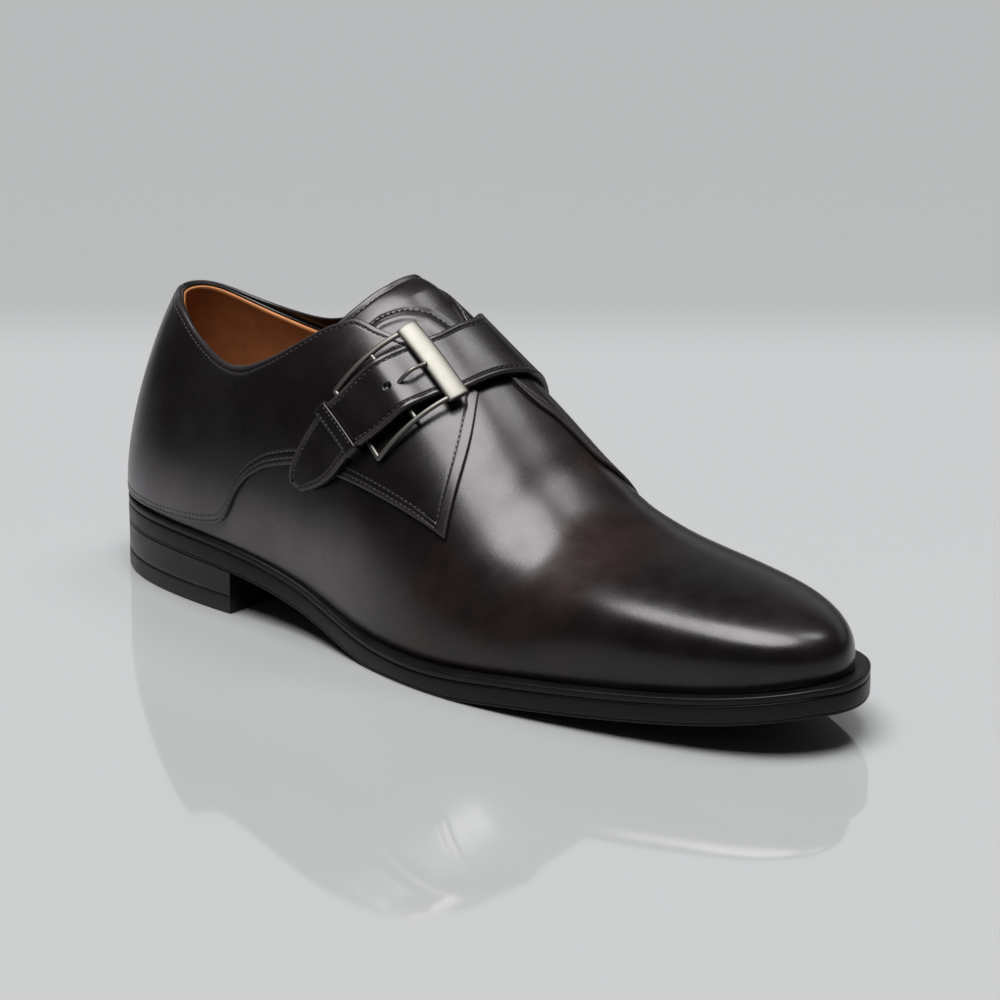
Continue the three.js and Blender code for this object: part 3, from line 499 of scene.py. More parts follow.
def mix_rgb(nt, fac, a, b, mode='MIX'):
    n = nt.nodes.new('ShaderNodeMix'); n.data_type = 'RGBA'; n.blend_type = mode
    if isinstance(fac, (int, float)): n.inputs[0].default_value = fac
    else: nt.links.new(fac, n.inputs[0])
    for i, q in ((6, a), (7, b)):
        if isinstance(q, tuple): n.inputs[i].default_value = (*q, 1)
        else: nt.links.new(q, n.inputs[i])
    return n.outputs[2]


def obj_coord(nt):
    return nt.nodes.new('ShaderNodeTexCoord').outputs['Object']


def bump(nt, bs, height, strength, dist, prev=None):
    b = nt.nodes.new('ShaderNodeBump'); b.inputs['Strength'].default_value = strength; b.inputs['Distance'].default_value = dist
    nt.links.new(height, b.inputs['Height'])
    if prev is not None: nt.links.new(prev, b.inputs['Normal'])
    return b.outputs[0]


def leather(name, dark, mid, warm, rough=(.24, .34), coat=.12, grain=.35, toe=True, rim=(.044, .036, .038), patch=None):
    m, nt, bs = new_mat(name); co = obj_coord(nt)
    big = noise(nt, 14, 3, .5, co); med = noise(nt, 60, 5, .6, co)
    v = math_node(nt, 'ADD', math_node(nt, 'MULTIPLY', big, .65), math_node(nt, 'MULTIPLY', med, .35))
    col = ramp(nt, v, [(.33, dark), (.52, mid), (.68, warm)])
    if toe:   # darker burnish over toe and heel, warmer in the middle
        sep = nt.nodes.new('ShaderNodeSeparateXYZ'); nt.links.new(co, sep.inputs[0])
        mr = nt.nodes.new('ShaderNodeMapRange'); nt.links.new(sep.outputs[0], mr.inputs['Value'])
        mr.inputs['From Min'].default_value = .045; mr.inputs['From Max'].default_value = .105; mr.interpolation_type = 'SMOOTHSTEP'
        mr2 = nt.nodes.new('ShaderNodeMapRange'); nt.links.new(sep.outputs[0], mr2.inputs['Value'])
        mr2.inputs['From Min'].default_value = -.02; mr2.inputs['From Max'].default_value = -.075; mr2.interpolation_type = 'SMOOTHSTEP'
        f = math_node(nt, 'MAXIMUM', mr.outputs[0], math_node(nt, 'MULTIPLY', mr2.outputs[0], .75))
        col = mix_rgb(nt, math_node(nt, 'MULTIPLY', f, .8), col, dark)
    if patch:   # one warmer cloud on the vamp
        ds = nt.nodes.new('ShaderNodeVectorMath'); ds.operation = 'DISTANCE'; nt.links.new(co, ds.inputs[0]); ds.inputs[1].default_value = patch[0]
        pm = nt.nodes.new('ShaderNodeMapRange'); nt.links.new(ds.outputs['Value'], pm.inputs['Value']); pm.interpolation_type = 'SMOOTHSTEP'
        pm.inputs['From Min'].default_value = .034; pm.inputs['From Max'].default_value = .006
        col = mix_rgb(nt, math_node(nt, 'MULTIPLY', pm.outputs[0], math_node(nt, 'ADD', math_node(nt, 'MULTIPLY', med, 1.0), .15)), col, patch[1])
    if toe:   # painted highlight: a greyer, lighter band low on the heel and waist, in place of the floor's reflection
        lo = nt.nodes.new('ShaderNodeMapRange'); nt.links.new(sep.outputs[2], lo.inputs['Value']); lo.interpolation_type = 'SMOOTHSTEP'
        lo.inputs['From Min'].default_value = .052; lo.inputs['From Max'].default_value = .026
        fx = nt.nodes.new('ShaderNodeMapRange'); nt.links.new(sep.outputs[0], fx.inputs['Value']); fx.interpolation_type = 'SMOOTHSTEP'
        fx.inputs['From Min'].default_value = .015; fx.inputs['From Max'].default_value = -.04
        k = math_node(nt, 'MULTIPLY', math_node(nt, 'MULTIPLY', lo.outputs[0], fx.outputs[0]), math_node(nt, 'ADD', math_node(nt, 'MULTIPLY', med, .8), .35))
        col = mix_rgb(nt, k, col, (.130, .115, .127))
    # painted highlight: rims a shade lighter where the 'rim' values are positive; painted shade: black inside a punched
    # hole where they are negative
    at = nt.nodes.new('ShaderNodeAttribute'); at.attribute_name = 'rim'; at.attribute_type = 'GEOMETRY'
    k1 = math_node(nt, 'MULTIPLY', math_node(nt, 'MAXIMUM', at.outputs['Fac'], 0.0), math_node(nt, 'ADD', math_node(nt, 'MULTIPLY', med, .7), .35))
    col = mix_rgb(nt, k1, col, rim)
    col = mix_rgb(nt, math_node(nt, 'MAXIMUM', math_node(nt, 'MULTIPLY', at.outputs['Fac'], -1.0), 0.0), col, (.0004, .0003, .0003))
    nt.links.new(col, bs.inputs['Base Color'])
    r = nt.nodes.new('ShaderNodeMapRange'); nt.links.new(noise(nt, 90, 4, .6, co), r.inputs['Value'])
    r.inputs['From Min'].default_value = .3; r.inputs['From Max'].default_value = .7
    r.inputs['To Min'].default_value = rough[0]; r.inputs['To Max'].default_value = rough[1]
    nt.links.new(r.outputs[0], bs.inputs['Roughness'])
    bs.inputs['Coat Weight'].default_value = coat; bs.inputs['Coat Roughness'].default_value = .16
    bs.inputs['Specular IOR Level'].default_value = .5; bs.inputs['Specular Tint'].default_value = (1.0, .955, .97, 1)
    vo = nt.nodes.new('ShaderNodeTexVoronoi'); vo.inputs['Scale'].default_value = 1500; nt.links.new(co, vo.inputs['Vector'])
    fine = math_node(nt, 'ADD', math_node(nt, 'MULTIPLY', vo.outputs['Distance'], .5), noise(nt, 700, 3, .6, co))
    b1 = bump(nt, bs, fine, grain * .24, .0002)
    b2 = bump(nt, bs, noise(nt, 45, 3, .5, co), .06, .0012, b1)
    nt.links.new(b2, bs.inputs['Normal'])
    return m


def plain(name, color, rough, bump_scale=300, bump_s=.2, var=.15, metal=0.0, coat=0.0, dist=.0002, stretch=None, spec=.5, rvar=.15):
    m, nt, bs = new_mat(name); co = obj_coord(nt)
    if stretch:
        mp = nt.nodes.new('ShaderNodeMapping'); nt.links.new(co, mp.inputs[0]); mp.inputs['Scale'].default_value = stretch; co = mp.outputs[0]
    n = noise(nt, bump_scale * .2, 4, .6, co)
    lo = tuple(c * (1 - var) for c in color); hi = tuple(min(1, c * (1 + var)) for c in color)
    nt.links.new(ramp(nt, n, [(.3, lo), (.7, hi)]), bs.inputs['Base Color'])
    r = nt.nodes.new('ShaderNodeMapRange'); nt.links.new(noise(nt, bump_scale * .35, 3, .5, co), r.inputs['Value'])
    r.inputs['From Min'].default_value = .3; r.inputs['From Max'].default_value = .7
    r.inputs['To Min'].default_value = max(.02, rough * (1 - rvar)); r.inputs['To Max'].default_value = min(1, rough * (1 + rvar))
    nt.links.new(r.outputs[0], bs.inputs['Roughness'])
    bs.inputs['Metallic'].default_value = metal; bs.inputs['Specular IOR Level'].default_value = spec
    if coat:
        bs.inputs['Coat Weight'].default_value = coat; bs.inputs['Coat Roughness'].default_value = .2
    nt.links.new(bump(nt, bs, noise(nt, bump_scale, 4, .6, co), bump_s, dist), bs.inputs['Normal'])
    return m


M_UPPER = leather('mat_upper', (.0030, .0022, .0029), (.0078, .0049, .0049), (.022, .0118, .0098), patch=((.058, -.013, .048), (.024, .0120, .0100)))
M_QUARTER = leather('mat_quarter', (.0032, .0024, .0029), (.0068, .0046, .0045), (.014, .0085, .0072))
M_STRAP = leather('mat_strap', (.0036, .0026, .0030), (.0070, .0048, .0047), (.013, .0082, .0072), toe=False)
M_EDGE = plain('mat_cut_edge', (.012, .009, .008), .42, 500, .25)
M_LINING = plain('mat_lining', (.58, .225, .078), .55, 600, .3, .16)
M_SOCK = plain('mat_sock', (.10, .045, .018), .6, 500, .25, .2)
M_SOLE = plain('mat_sole_edge', (.0044, .0040, .0044), .36, 260, .18, .2, stretch=(1, 1, 2.5), spec=.28)
M_HEEL = plain('mat_heel_stack', (.0062, .0056, .0060), .34, 260, .18, .2, stretch=(1, 1, 3), spec=.45)
M_RUBBER = plain('mat_rubber', (.0060, .0058, .0062), .45, 400, .3, .15)
M_TREAD = plain('mat_tread', (.035, .026, .02), .55, 250, .3, .25)
M_METAL = plain('mat_buckle', (.190, .182, .162), .47, 900, .02, .02, metal=1.0, dist=.00003, rvar=.03)
M_THREAD = plain('mat_thread', (.033, .028, .029), .55, 1500, .4, .2)

# --------------------------------------------------------------------- upper
def upper_rows(nopen=110, nthroat=26, nclosed=150):
    rows = []
    def open_side(side):
        x0, w0 = THROAT_OUT if side < 0 else THROAT_IN
        t = np.linspace(0 if side < 0 else LOOP, float(t_of(x0, side)), nopen + 1); v = collar_v(t, side); v[-1] = 1 - w0
        # ease the last rows into the throat corner
        a = np.linspace(0, np.pi / 2, nthroat + 1)[1:-1]
        t2 = t_of(x0 + (THROAT_X - x0) * np.sin(a), side); v2 = 1 - w0 * np.cos(a)
        o = np.stack([np.r_[t, t2], np.r_[v, v2]], -1)
        return o if side < 0 else o[1:]
    s = np.linspace(0, 1, nclosed + 1)[:-1]; xs = THROAT_X + (297 - THROAT_X) * np.sin(np.pi / 2 * s)
    cl = lambda side: np.stack([t_of(xs, side), np.ones(len(xs))], -1)
    oL, oM = open_side(-1), open_side(1)
    R = np.concatenate([oL, cl(-1), [[TOE_T, 1.0]], cl(1)[::-1], oM[::-1]])
    closed = np.r_[np.zeros(len(oL), bool), np.ones(2 * len(xs) + 1, bool), np.zeros(len(oM), bool)]
    return R, closed


def shell(name, h_out, h_in, mat, slot, Mv=72, top_cut=0.0, bottom=0.0):
    R, closed = upper_rows(); n = len(R); v = np.linspace(0, 1, Mv + 1)
    # rows spaced evenly from the bottom to the top of the wall
    T = np.repeat(R[:, :1], Mv + 1, 1)
    top = np.where(closed, R[:, 1], R[:, 1] - top_cut)[:, None]
    VV = bottom + (top - bottom) * v[None]
    def wave(t, vv):  # soft flex creases across the vamp behind the toe
        p = S(t, vv); x = p[..., 0]; up = np.clip((vv - .25) / .4, 0, 1)
        a = .16 * np.exp(-((x - 196) / 9)**2) * np.sin((x - 190) / 3.6 + 2.2 * vv) + .10 * np.exp(-((x - 178) / 8)**2) * np.sin((x - 170) / 3.1)
        return a * up
    ho = h_out + (wave(T, VV) if h_out == 0 else 0)
    A = P(T, VV, np.broadcast_to(ho, T.shape)); B = P(T, VV, np.full(T.shape, h_in)); m = Mv + 1
    if not bottom:
        A[:, 0, 2] -= .27; B[:, 0, 2] -= .27
    V = np.concatenate([A.reshape(-1, 3), B.reshape(-1, 3)]); o = n * m
    F = [grid_faces(n, m, 0, False, True), grid_faces(n, m, o, True, True)]
    i = np.arange(n); i2 = (i + 1) % n
    F.append(np.stack([i * m, i * m + o, i2 * m + o, i2 * m], -1))
    k = ~(closed & np.roll(closed, -1)); a = i[k] * m + Mv; b = i2[k] * m + Mv
    F.append(np.stack([a, b, b + o, a + o], -1))
    return make(name, V, np.concatenate(F), mat, slot)


upper = shell('upper_leather', 0.0, -1.1, M_UPPER, 'burnished_leather')
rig.replaces(upper, "upper")
lining = shell('upper_lining', -1.12, -WALL, M_LINING, 'lining_leather', Mv=40, top_cut=.006, bottom=.03)

# -------------------------------------------------------------------- tongue
def tongue_uv(u, v):
    """u 0 outer .. 1 inner end, v 0 free top edge .. 1 hidden front edge"""
    a = np.radians(-82 + 164 * u); side = np.where(a < 0, -1, 1)
    x0 = np.where(a < 0, THROAT_OUT[0], THROAT_IN[0]); w0 = np.where(a < 0, THROAT_OUT[1], THROAT_IN[1])
    w = w0 * np.sin(np.abs(a)) * side; xf = x0 + (THROAT_X - x0) * np.cos(a) - .2; xb = poly(TONGUE_TOP, w)
    return xb + (xf - xb) * v, np.where(np.abs(w) < 1e-5, 1e-5, w)


def tongue_f(u, v, h):
    x, w = tongue_uv(np.asarray(u, float), np.asarray(v, float))
    flare = 1.0 * np.clip(1 - np.asarray(v) * 3.2, 0, 1)**2
    return Q(x, w, np.asarray(h) + flare * 0)


ARC = np.array([[110.6, -.29], [111.5, -.25], [113, -.21], [115.5, -.17], [117.5, -.14], [120, -.115], [123.5, -.085], [127, -.075], [131, -.065]])


def arc_distance(x, w):
    """signed distance from the stitched arc on the tongue, mm, positive towards the toe"""
    A = resample(np.c_[ARC[:, 0], ARC[:, 1] * 70], .5); q = np.stack([x, w * 70], -1)
    d = q[..., None, :] - A; r = np.sqrt((d**2).sum(-1)); k = r.argmin(-1); T = np.gradient(A, axis=0)[k]
    dd = np.take_along_axis(d, k[..., None, None].repeat(2, -1), -2)[..., 0, :]
    sgn = np.sign(T[..., 1] * dd[..., 0] - T[..., 0] * dd[..., 1]); end = (k == 0) | (k == len(A) - 1)
    return np.where(end, 9.0, r.min(-1) * sgn)


def tongue_extra(u, v, d):
    q = arc_distance(*tongue_uv(u, v))
    x, w = tongue_uv(u, v); crest = 1.5 * np.exp(-((w - .02) / .17)**2) * np.clip((123 - x) / 12, 0, 1) * np.clip(v * 3, .25, 1)
    return crest - .34 * np.exp(-(q / .45)**2) + .40 * np.exp(-((q - 2.3) / 1.0)**2)


# the tongue's top rim and a band just below the stitched arc take the lighter rim colour: a painted highlight
tv, tf = rounded_sheet(tongue_f, 110, 60, -1.15, .12, edge_profile(.8, (3.0,), .22, .4, .35, 2.6), ('v0',), extra=tongue_extra,
                       band=lambda d, u, v: np.clip(band_value(d, 1.9) + .8 * np.exp(-((arc_distance(*tongue_uv(u, v)) - 2.3) / .9)**2), 0, 1))
tongue = make('tongue_leather', tv, tf, M_QUARTER, 'burnished_leather', rim=RIM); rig.replaces(tongue, "tongue")
tv, tf = rounded_sheet(tongue_f, 60, 24, -1.95, -1.18, edge_profile(.3), ('v0',))
tongue_lining = make('tongue_lining', tv, tf, M_LINING, 'lining_leather')

# ------------------------------------------------------------------ quarters
def quarter_f(side):
    low = smooth_poly(Q_OUT_LOW if side < 0 else Q_IN_LOW, 600, 3.5); upT = Q_OUT_UP if side < 0 else Q_IN_UP
    upf = smooth_poly(upT, 300, 3.0); front = np.asarray(Q_OUT_FRONT if side < 0 else Q_IN_FRONT, float); nf = len(front) - 1
    fx = Spline(np.arange(nf + 1), front[:, 0]); fw = Spline(np.arange(nf + 1), front[:, 1]); t0 = .1 if side < 0 else LOOP - .1
    tt = np.linspace(t0, float(t_of(upT[0][0], side)), 160); cv = collar_v(tt, side)
    order = np.argsort(tt)
    def F(u, v, h):
        u, v = np.broadcast_arrays(np.asarray(u, float), np.asarray(v, float)); h = np.broadcast_to(np.asarray(h, float), u.shape)
        q = v * nf; xf, wf = fx(q), fw(q)
        t = t0 + (t_of(xf, side) - t0) * u; x = cX(t)
        wu = np.where(x < upT[0][0], 1 - np.interp(t, tt[order], cv[order]) + .001, upf(x))
        w = low(x) * (1 - v) + wu * v
        k = u**3; w = w * (1 - k) + wf * k
        ts = np.where(w < 0, t_of(x, -side), t)
        return P(ts, 1 - np.abs(np.where(np.abs(w) < 1e-5, 1e-5, w)), h)
    return F


def quarter(side, name, node):
    F = quarter_f(side)
    uu = np.linspace(0, 1, 60); a = np.linspace(0, 1, 25)
    LU = [np.linalg.norm(np.diff(F(uu, np.full(60, q), 0), axis=0), axis=1).sum() for q in a]
    LV = [np.linalg.norm(np.diff(F(np.full(60, q), uu, 0), axis=0), axis=1).sum() for q in a]

    def edges_at(u, v):     # distances from the front edge, the lower edge and the top edge
        return (1 - u) * np.interp(v, a, LU), v * np.interp(u, a, LV), (1 - v) * np.interp(u, a, LV)

    def grooves(u, v, d):
        f_, l_, t_ = edges_at(u, v); g = lambda q, c, k=.20: k * np.exp(-((q - c) / .30)**2)
        on_front = np.clip((l_ - 2.0) / 1.5, 0, 1) * np.clip((t_ - 2.0) / 1.5, 0, 1); on_low = np.clip((f_ - 3.0) / 1.5, 0, 1)
        return -(g(f_, 4.2, .24) * on_front + (g(l_, 1.9) + g(l_, 4.0)) * on_low + g(t_, 2.5) * on_low) - .10 * np.clip((f_ - 4.2) / .5, 0, 1) * (f_ < 30)

    # the band within 4 mm of the front edge and the rims take the lighter rim colour: a painted highlight
    def rim(d, u, v):
        f_, l_, t_ = edges_at(u, v); return np.clip(np.maximum(np.clip((4.0 - f_) / .4, 0, 1) * .38, band_value(d, 1.5) * .8), 0, 1)
    v, f = rounded_sheet(F, 150, 70, -.05, 1.45, edge_profile(.75), ('u1', 'v0', 'v1'), extra=grooves, band=rim)
    ob = make(name, v, f, M_QUARTER, 'burnished_leather', rim=RIM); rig.replaces(ob, node)
    return ob, F


q_lat, F_lat = quarter(-1, 'quarter_outer', 'quarter_lateral')
q_med, F_med = quarter(1, 'quarter_inner', 'quarter_medial')

# --------------------------------------------------------------------- strap
sc = [Spline(np.arange(len(STRAP)), STRAP[:, k]) for k in range(5)]
SN = len(STRAP) - 1


def strap_xw(s, e):
    ux, uw, lx, lw = [c(s) for c in sc[:4]]; w = uw + (lw - uw) * e
    return ux + (lx - ux) * e, np.where(np.abs(w) < 1e-5, 1e-5, w)


def strap_f(u, v, h):
    u, v = np.broadcast_arrays(np.asarray(u, float), np.asarray(v, float)); s = u * SN
    x, w = strap_xw(s, v)
    # a ramp over the last tenth of the strap, not used: the tip is not rounded in plan
    k = np.clip((u - .90) / .10, 0, 1)
    return Q(x, w, np.maximum(sc[4](s), 1.95) + np.asarray(h) - .35 * (u > 2))


HOLE = strap_f(.55, .51, 2.2)     # spare hole behind the prong, punched part way


def hole_distance(u, v):
    return np.linalg.norm(strap_f(u, v, 2.2) - HOLE, axis=-1)


# strap rims take the lighter rim colour, a painted highlight, stronger towards the tail; negative values paint the
# spare hole black, a painted shade
sv, sf = rounded_sheet(strap_f, 300, 44, -.25, 2.2, edge_profile(.8, (2.3,), .26, .32, .10, 2.0), ('v0', 'v1', 'u1', 'u0'),
                       extra=lambda u, v, d: -1.0 * np.clip((1.25 - hole_distance(u, v)) / .5, 0, 1),
                       band=lambda d, u, v: band_value(d, 1.8) * np.clip((u - .45) / .2, .35, 1) - 1.2 * np.clip((1.15 - hole_distance(u, v)) / .4, 0, 1))
strap = make('strap_leather', sv, sf, M_STRAP, 'strap_leather', rim=RIM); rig.replaces(strap, "strap")

# -------------------------------------------------------------------- buckle
def line_xwh(a, b, n, ext=0.0, sag=0.0):
    f = np.linspace(-ext, 1 + ext, n); a, b = np.array(a), np.array(b)
    q = a + (b - a) * f[:, None]; h = q[:, 2] + sag * 4 * f * (1 - f)
    return Q(q[:, 0], q[:, 1], h), Qn(q[:, 0], q[:, 1])


parts = []
p, n = line_xwh(FRONT_UP, FRONT_LOW, 40, .045, .5); parts.append(sweep(p, n, 3.75, 1.08, 40, 2.15, round_ends=.3))
p, n = line_xwh(FRONT_UP, REAR_UP, 36, .0); parts.append(sweep(p - n * .25, n, .95, .75, 16, 2.4, round_ends=.8))
p, n = line_xwh(FRONT_LOW, REAR_LOW, 36, .0); parts.append(sweep(p, n, .85, .8, 16, 2.3, round_ends=.8))
p, n = line_xwh(REAR_UP, REAR_LOW, 30, -.012); parts.append(sweep(p - n * .1, n, .85, .7, 16, 2.4, round_ends=.6))
p, n = line_xwh(HINGE[0], HINGE[1], 30, .0); parts.append(sweep(p, n, .8, .8, 16, 2.0, round_ends=.4))
bv, bf = merge(parts)
buckle = make('buckle_bars', bv, bf, M_METAL, 'buckle_metal'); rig.replaces(buckle, "buckle_frame")

hp, hn = line_xwh(HINGE[0], HINGE[1], 101)
c = hp[55]; N0 = Qn(131.7, -.351); tip = Q(136.6, -.222, 8.1)
fwd = tip - c; fwd -= N0 * (fwd @ N0); fwd /= np.linalg.norm(fwd); Lp = (tip - c) @ fwd; hz = (tip - c) @ N0
ctrl = np.array([[-1.35, 0.2], [-.9, 1.25], [.3, 1.75], [1.8, 2.7], [3.4, 3.75], [.5 * Lp, 4.5], [.75 * Lp, hz + .35], [.93 * Lp, hz + .15], [Lp, hz - .1]])
ss = np.linspace(0, len(ctrl) - 1, 60); cs = [Spline(np.arange(len(ctrl)), ctrl[:, k]) for k in (0, 1)]
pp = c + cs[0](ss)[:, None] * fwd + cs[1](ss)[:, None] * N0
taper = np.interp(ss, [0, 6, len(ctrl) - 1], [1.0, .95, .62])
pp = pp[:47]; taper = taper[:47]
pv, pf = sweep(pp, np.repeat(N0[None], len(pp), 0), .72 * taper, .7 * taper, 16, 2.2, round_ends=.5)
prong = make('buckle_pin', pv, pf, M_METAL, 'buckle_metal'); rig.replaces(prong, "buckle_prong")

# -------------------------------------------------------------------- keeper
def keeper_path(s):
    sf_ = lambda e, h: strap_f(s / SN, e, h)
    A, Bq = sf_(0., 0.), sf_(1., 0.); NA = (A - Bq) / np.linalg.norm(A - Bq); off, top = .85, 2.2 + .75
    pts = [Q(*strap_xw(s, 0.), 1.7) + NA * off, sf_(0., .6) + NA * off, sf_(0., 1.6) + NA * (off - .05), sf_(0., top - .35) + NA * (off - .35), sf_(0., top) + NA * .1]
    pts += [sf_(e, top + .12 * np.sin(np.pi * e)) for e in (.12, .25, .4, .55, .7, .85, .93)]
    pts += [sf_(1., top) - NA * .1, sf_(1., top - .35) - NA * (off - .35), sf_(1., 1.6) - NA * (off - .05), sf_(1., .6) - NA * off, Q(*strap_xw(s, 1.), 1.7) - NA * off]
    return resample(np.array([np.ravel(q) for q in pts]), .6)


kp = keeper_path(11.05); k0, k1 = strap_f(10.7 / SN, .5, 0.), strap_f(11.4 / SN, .5, 0.); along = (k1 - k0) / np.linalg.norm(k1 - k0)
Tk = np.gradient(kp, axis=0); Tk /= np.linalg.norm(Tk, axis=1, keepdims=True); upk = np.cross(Tk, along); upk /= np.linalg.norm(upk, axis=1, keepdims=True)
kv, kf = sweep(kp, upk, 2.5, .6, 24, 5.0)
keeper = make('keeper_loop', kv, kf, M_STRAP, 'strap_leather'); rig.replaces(keeper, "keeper")

# ---------------------------------------------------------------------- sole
topZ = lambda x: feather(np.clip(x, 0, 297)) - GAP
treadZ = lambda x: np.maximum(feather(np.clip(x, 0, 297)) - SOLE_DEPTH, 0)


def outline(n, off, edge=1.0):
    """matched outer and inner points of the sole outline, off: distance beyond (+) or inside (-) the sole edge (edge 1) or the feather line (edge 0)"""
    def pt(t):
        e = .05; dx, dy = cX(t + e) - cX(t - e), cY(t + e) - cY(t - e); L = np.hypot(dx, dy); o = cEdge(t) * edge + off
        return np.stack([cX(t) + dy / L * o, cY(t) - dx / L * o], -1)
    f = (1 - np.cos(np.pi * np.linspace(0, 1, n + 1))) / 2 * .35 + np.linspace(0, 1, n + 1) * .65
    return pt(TOE_T * f), pt(LOOP + (TOE_T - LOOP) * f)


def layer(name, prof, n, mat, slot, x_max=None, sharp=None, edge=1.0):
    """prof: (off, z(x)) rings from the top centre outward and down to the bottom; closed across the shoe"""
    rings = []
    for off, z in prof:
        A, B = outline(n, off, edge)
        if x_max is not None:
            def cut(L):
                i = int(np.argmax(L[:, 0] > x_max)); f = (x_max - L[i - 1, 0]) / (L[i, 0] - L[i - 1, 0])
                L = np.concatenate([L[:i], [L[i - 1] + (L[i] - L[i - 1]) * f]])
                return resample(L, np.linalg.norm(np.diff(L, axis=0), axis=1).sum() / n)[:n + 1]
            A, B = cut(A), cut(B)
        rings.append((A, B, z))
    V, F = [], []; nA = len(rings[0][0])
    loopn = 2 * nA - (1 if x_max is not None else 2) + (0 if x_max is None else 0)
    def ring_pts(A, B, z):
        L = np.concatenate([A, B[::-1][:-1]]) if x_max is not None else np.concatenate([A, B[1:-1][::-1]])
        return np.c_[L, z(L[:, 0])]
    R = [ring_pts(*r) for r in rings]; m = len(R[0]); V = np.concatenate(R); K = len(R)
    for k in range(K - 1):
        for i in range(m):
            j = (i + 1) % m; F.append((k * m + i, k * m + j, (k + 1) * m + j, (k + 1) * m + i))
    def cap(k, flip):
        out = []
        if x_max is None:
            a = lambda i: i; b = lambda i: (m - i) % m
            for i in range(nA - 1):
                q = [a(i), a(i + 1), b(i + 1), b(i)]
                out.append(q)
        else:
            b = lambda i: (m - i) % m
            for i in range(nA - 1):
                q = [i, i + 1, b(i + 1) if i + 1 < nA else i + 1, b(i)]
                out.append(q)
        r = []
        for q in out:
            q2 = []
            for w in q:
                if not q2 or (w != q2[-1]): q2.append(w)
            if q2[0] == q2[-1]: q2 = q2[:-1]
            if len(set(q2)) >= 3: r.append(tuple(k * m + w for w in (q2[::-1] if flip else q2)))
        return r
    F += cap(0, False) + cap(K - 1, True)
    return make(name, V, F, mat, slot, sharp=sharp)


WELT_T = 2.5
zw = lambda d: (lambda x: topZ(x) - d)
zo = lambda d: (lambda x: np.maximum(topZ(x) - WELT_T - d, treadZ(x) + .0))
zb = lambda d: (lambda x: treadZ(x) + d)
# welt: a flat rim with eased corners, a shade wider than the outsole
welt = layer('welt_strip', [(-9, zw(.4)), (-5.4, zw(.1)), (-3.2, zw(0)), (-.7, zw(.02)), (-.3, zw(.1)), (-.08, zw(.3)), (.0, zw(.6)), (.02, zw(1.2)), (0, zw(1.9)), (-.12, zw(2.2)), (-.4, zw(2.42)), (-5, zw(WELT_T))],
             300, M_SOLE, 'sole_leather', sharp=50)
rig.replaces(welt, "welt")
outsole = layer('outsole_edge', [(-6, zo(.0)), (-.55, zo(.02)), (-.25, zo(.12)), (-.1, zo(.35)), (-.02, zo(.9)), (.06, zo(2.4)), (0, zb(1.9)), (-.05, zb(1.35)), (-.16, zb(1.15)), (-.06, zb(.95)), (-.02, zb(.6)), (-.15, zb(.25)), (-.5, zb(.06)), (-1.1, zb(0)), (-7, zb(0))],
                300, M_SOLE, 'sole_leather', sharp=50)
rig.replaces(outsole, "outsole")

TOP_PIECE = 6.0
parts_h = [(-5, lambda x: treadZ(x) - .05), (-.3, lambda x: treadZ(x) - .06), (-.08, lambda x: treadZ(x) - .16)]
zt = lambda f: (lambda x: TOP_PIECE + .12 + (treadZ(x) - TOP_PIECE) * f)
for f in (.95, .8, .6, .4, .2, .06):
    parts_h.append((-.06, zt(f)))
parts_h += [(-.22, zt(.02)), (-.5, zt(.0)), (-5, zt(.0))]
heel_stack = layer('heel_layers', parts_h, 120, M_HEEL, 'sole_leather', x_max=BREAST_X, sharp=50)
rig.replaces(heel_stack, "heel_stack")
top_piece = layer('heel_tip', [(-5, lambda x: 0 * x + TOP_PIECE), (-.4, lambda x: 0 * x + TOP_PIECE), (-.08, lambda x: 0 * x + TOP_PIECE - .25), (0, lambda x: 0 * x + TOP_PIECE - .7), (.02, lambda x: 0 * x + 3), (0, lambda x: 0 * x + .6), (-.2, lambda x: 0 * x + .15), (-.6, lambda x: 0 * x), (-5, lambda x: 0 * x)],
                  120, M_RUBBER, 'heel_rubber', x_max=BREAST_X, sharp=50)
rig.replaces(top_piece, "heel_top_piece")
insole = layer('insole_sock', [(-9, lambda x: topZ(x) + .2), (-5, lambda x: topZ(x) + .45), (-2.7, lambda x: topZ(x) + .3), (-2.3, lambda x: topZ(x) + .0), (-2.4, lambda x: topZ(x) - .5), (-4.6, lambda x: topZ(x) - 1.4), (-9, lambda x: topZ(x) - 1.5)],
               160, M_SOCK, 'lining_leather', edge=0.0)
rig.replaces(insole, "insole")

# ------------------------------------------------------------------ stitching
def on_sheet(F, u, v, h):
    """row along a sheet; u, v functions of s"""
    def g(s):
        uu, vv = u(s), v(s); e = 1e-3
        p = F(uu, vv, h); n = np.cross(F(uu + e, vv, h) - F(uu - e, vv, h), F(uu, vv + e, h) - F(uu, vv - e, h)); n /= np.linalg.norm(n, axis=1, keepdims=True)
        q = F(uu, vv, h + .5) - p; n *= np.sign(np.sum(n * q, 1))[:, None]
        return p, n
    return g


rows = []
def edge_row(F, edge, d, h, s0=0.0, s1=1.0, **kw):
    uu = np.linspace(0, 1, 60)
    Lu = lambda v: np.linalg.norm(np.diff(F(uu, np.full(60, v), 0.), axis=0), axis=1).sum()
    Lv = lambda u: np.linalg.norm(np.diff(F(np.full(60, u), uu, 0.), axis=0), axis=1).sum()
    a = np.linspace(0, 1, 30); LU = [Lu(v) for v in a]; LV = [Lv(u) for u in a]
    s = lambda q: s0 + (s1 - s0) * q
    if edge == 'v0': g = on_sheet(F, s, lambda q: d / np.interp(s(q), a, LV), h)
    if edge == 'v1': g = on_sheet(F, s, lambda q: 1 - d / np.interp(s(q), a, LV), h)
    if edge == 'u1': g = on_sheet(F, lambda q: 1 - d / np.interp(s(q), a, LU), s, h)
    if edge == 'u0': g = on_sheet(F, lambda q: d / np.interp(s(q), a, LU), s, h)
    rows.extend(stitch_row(g, **kw))


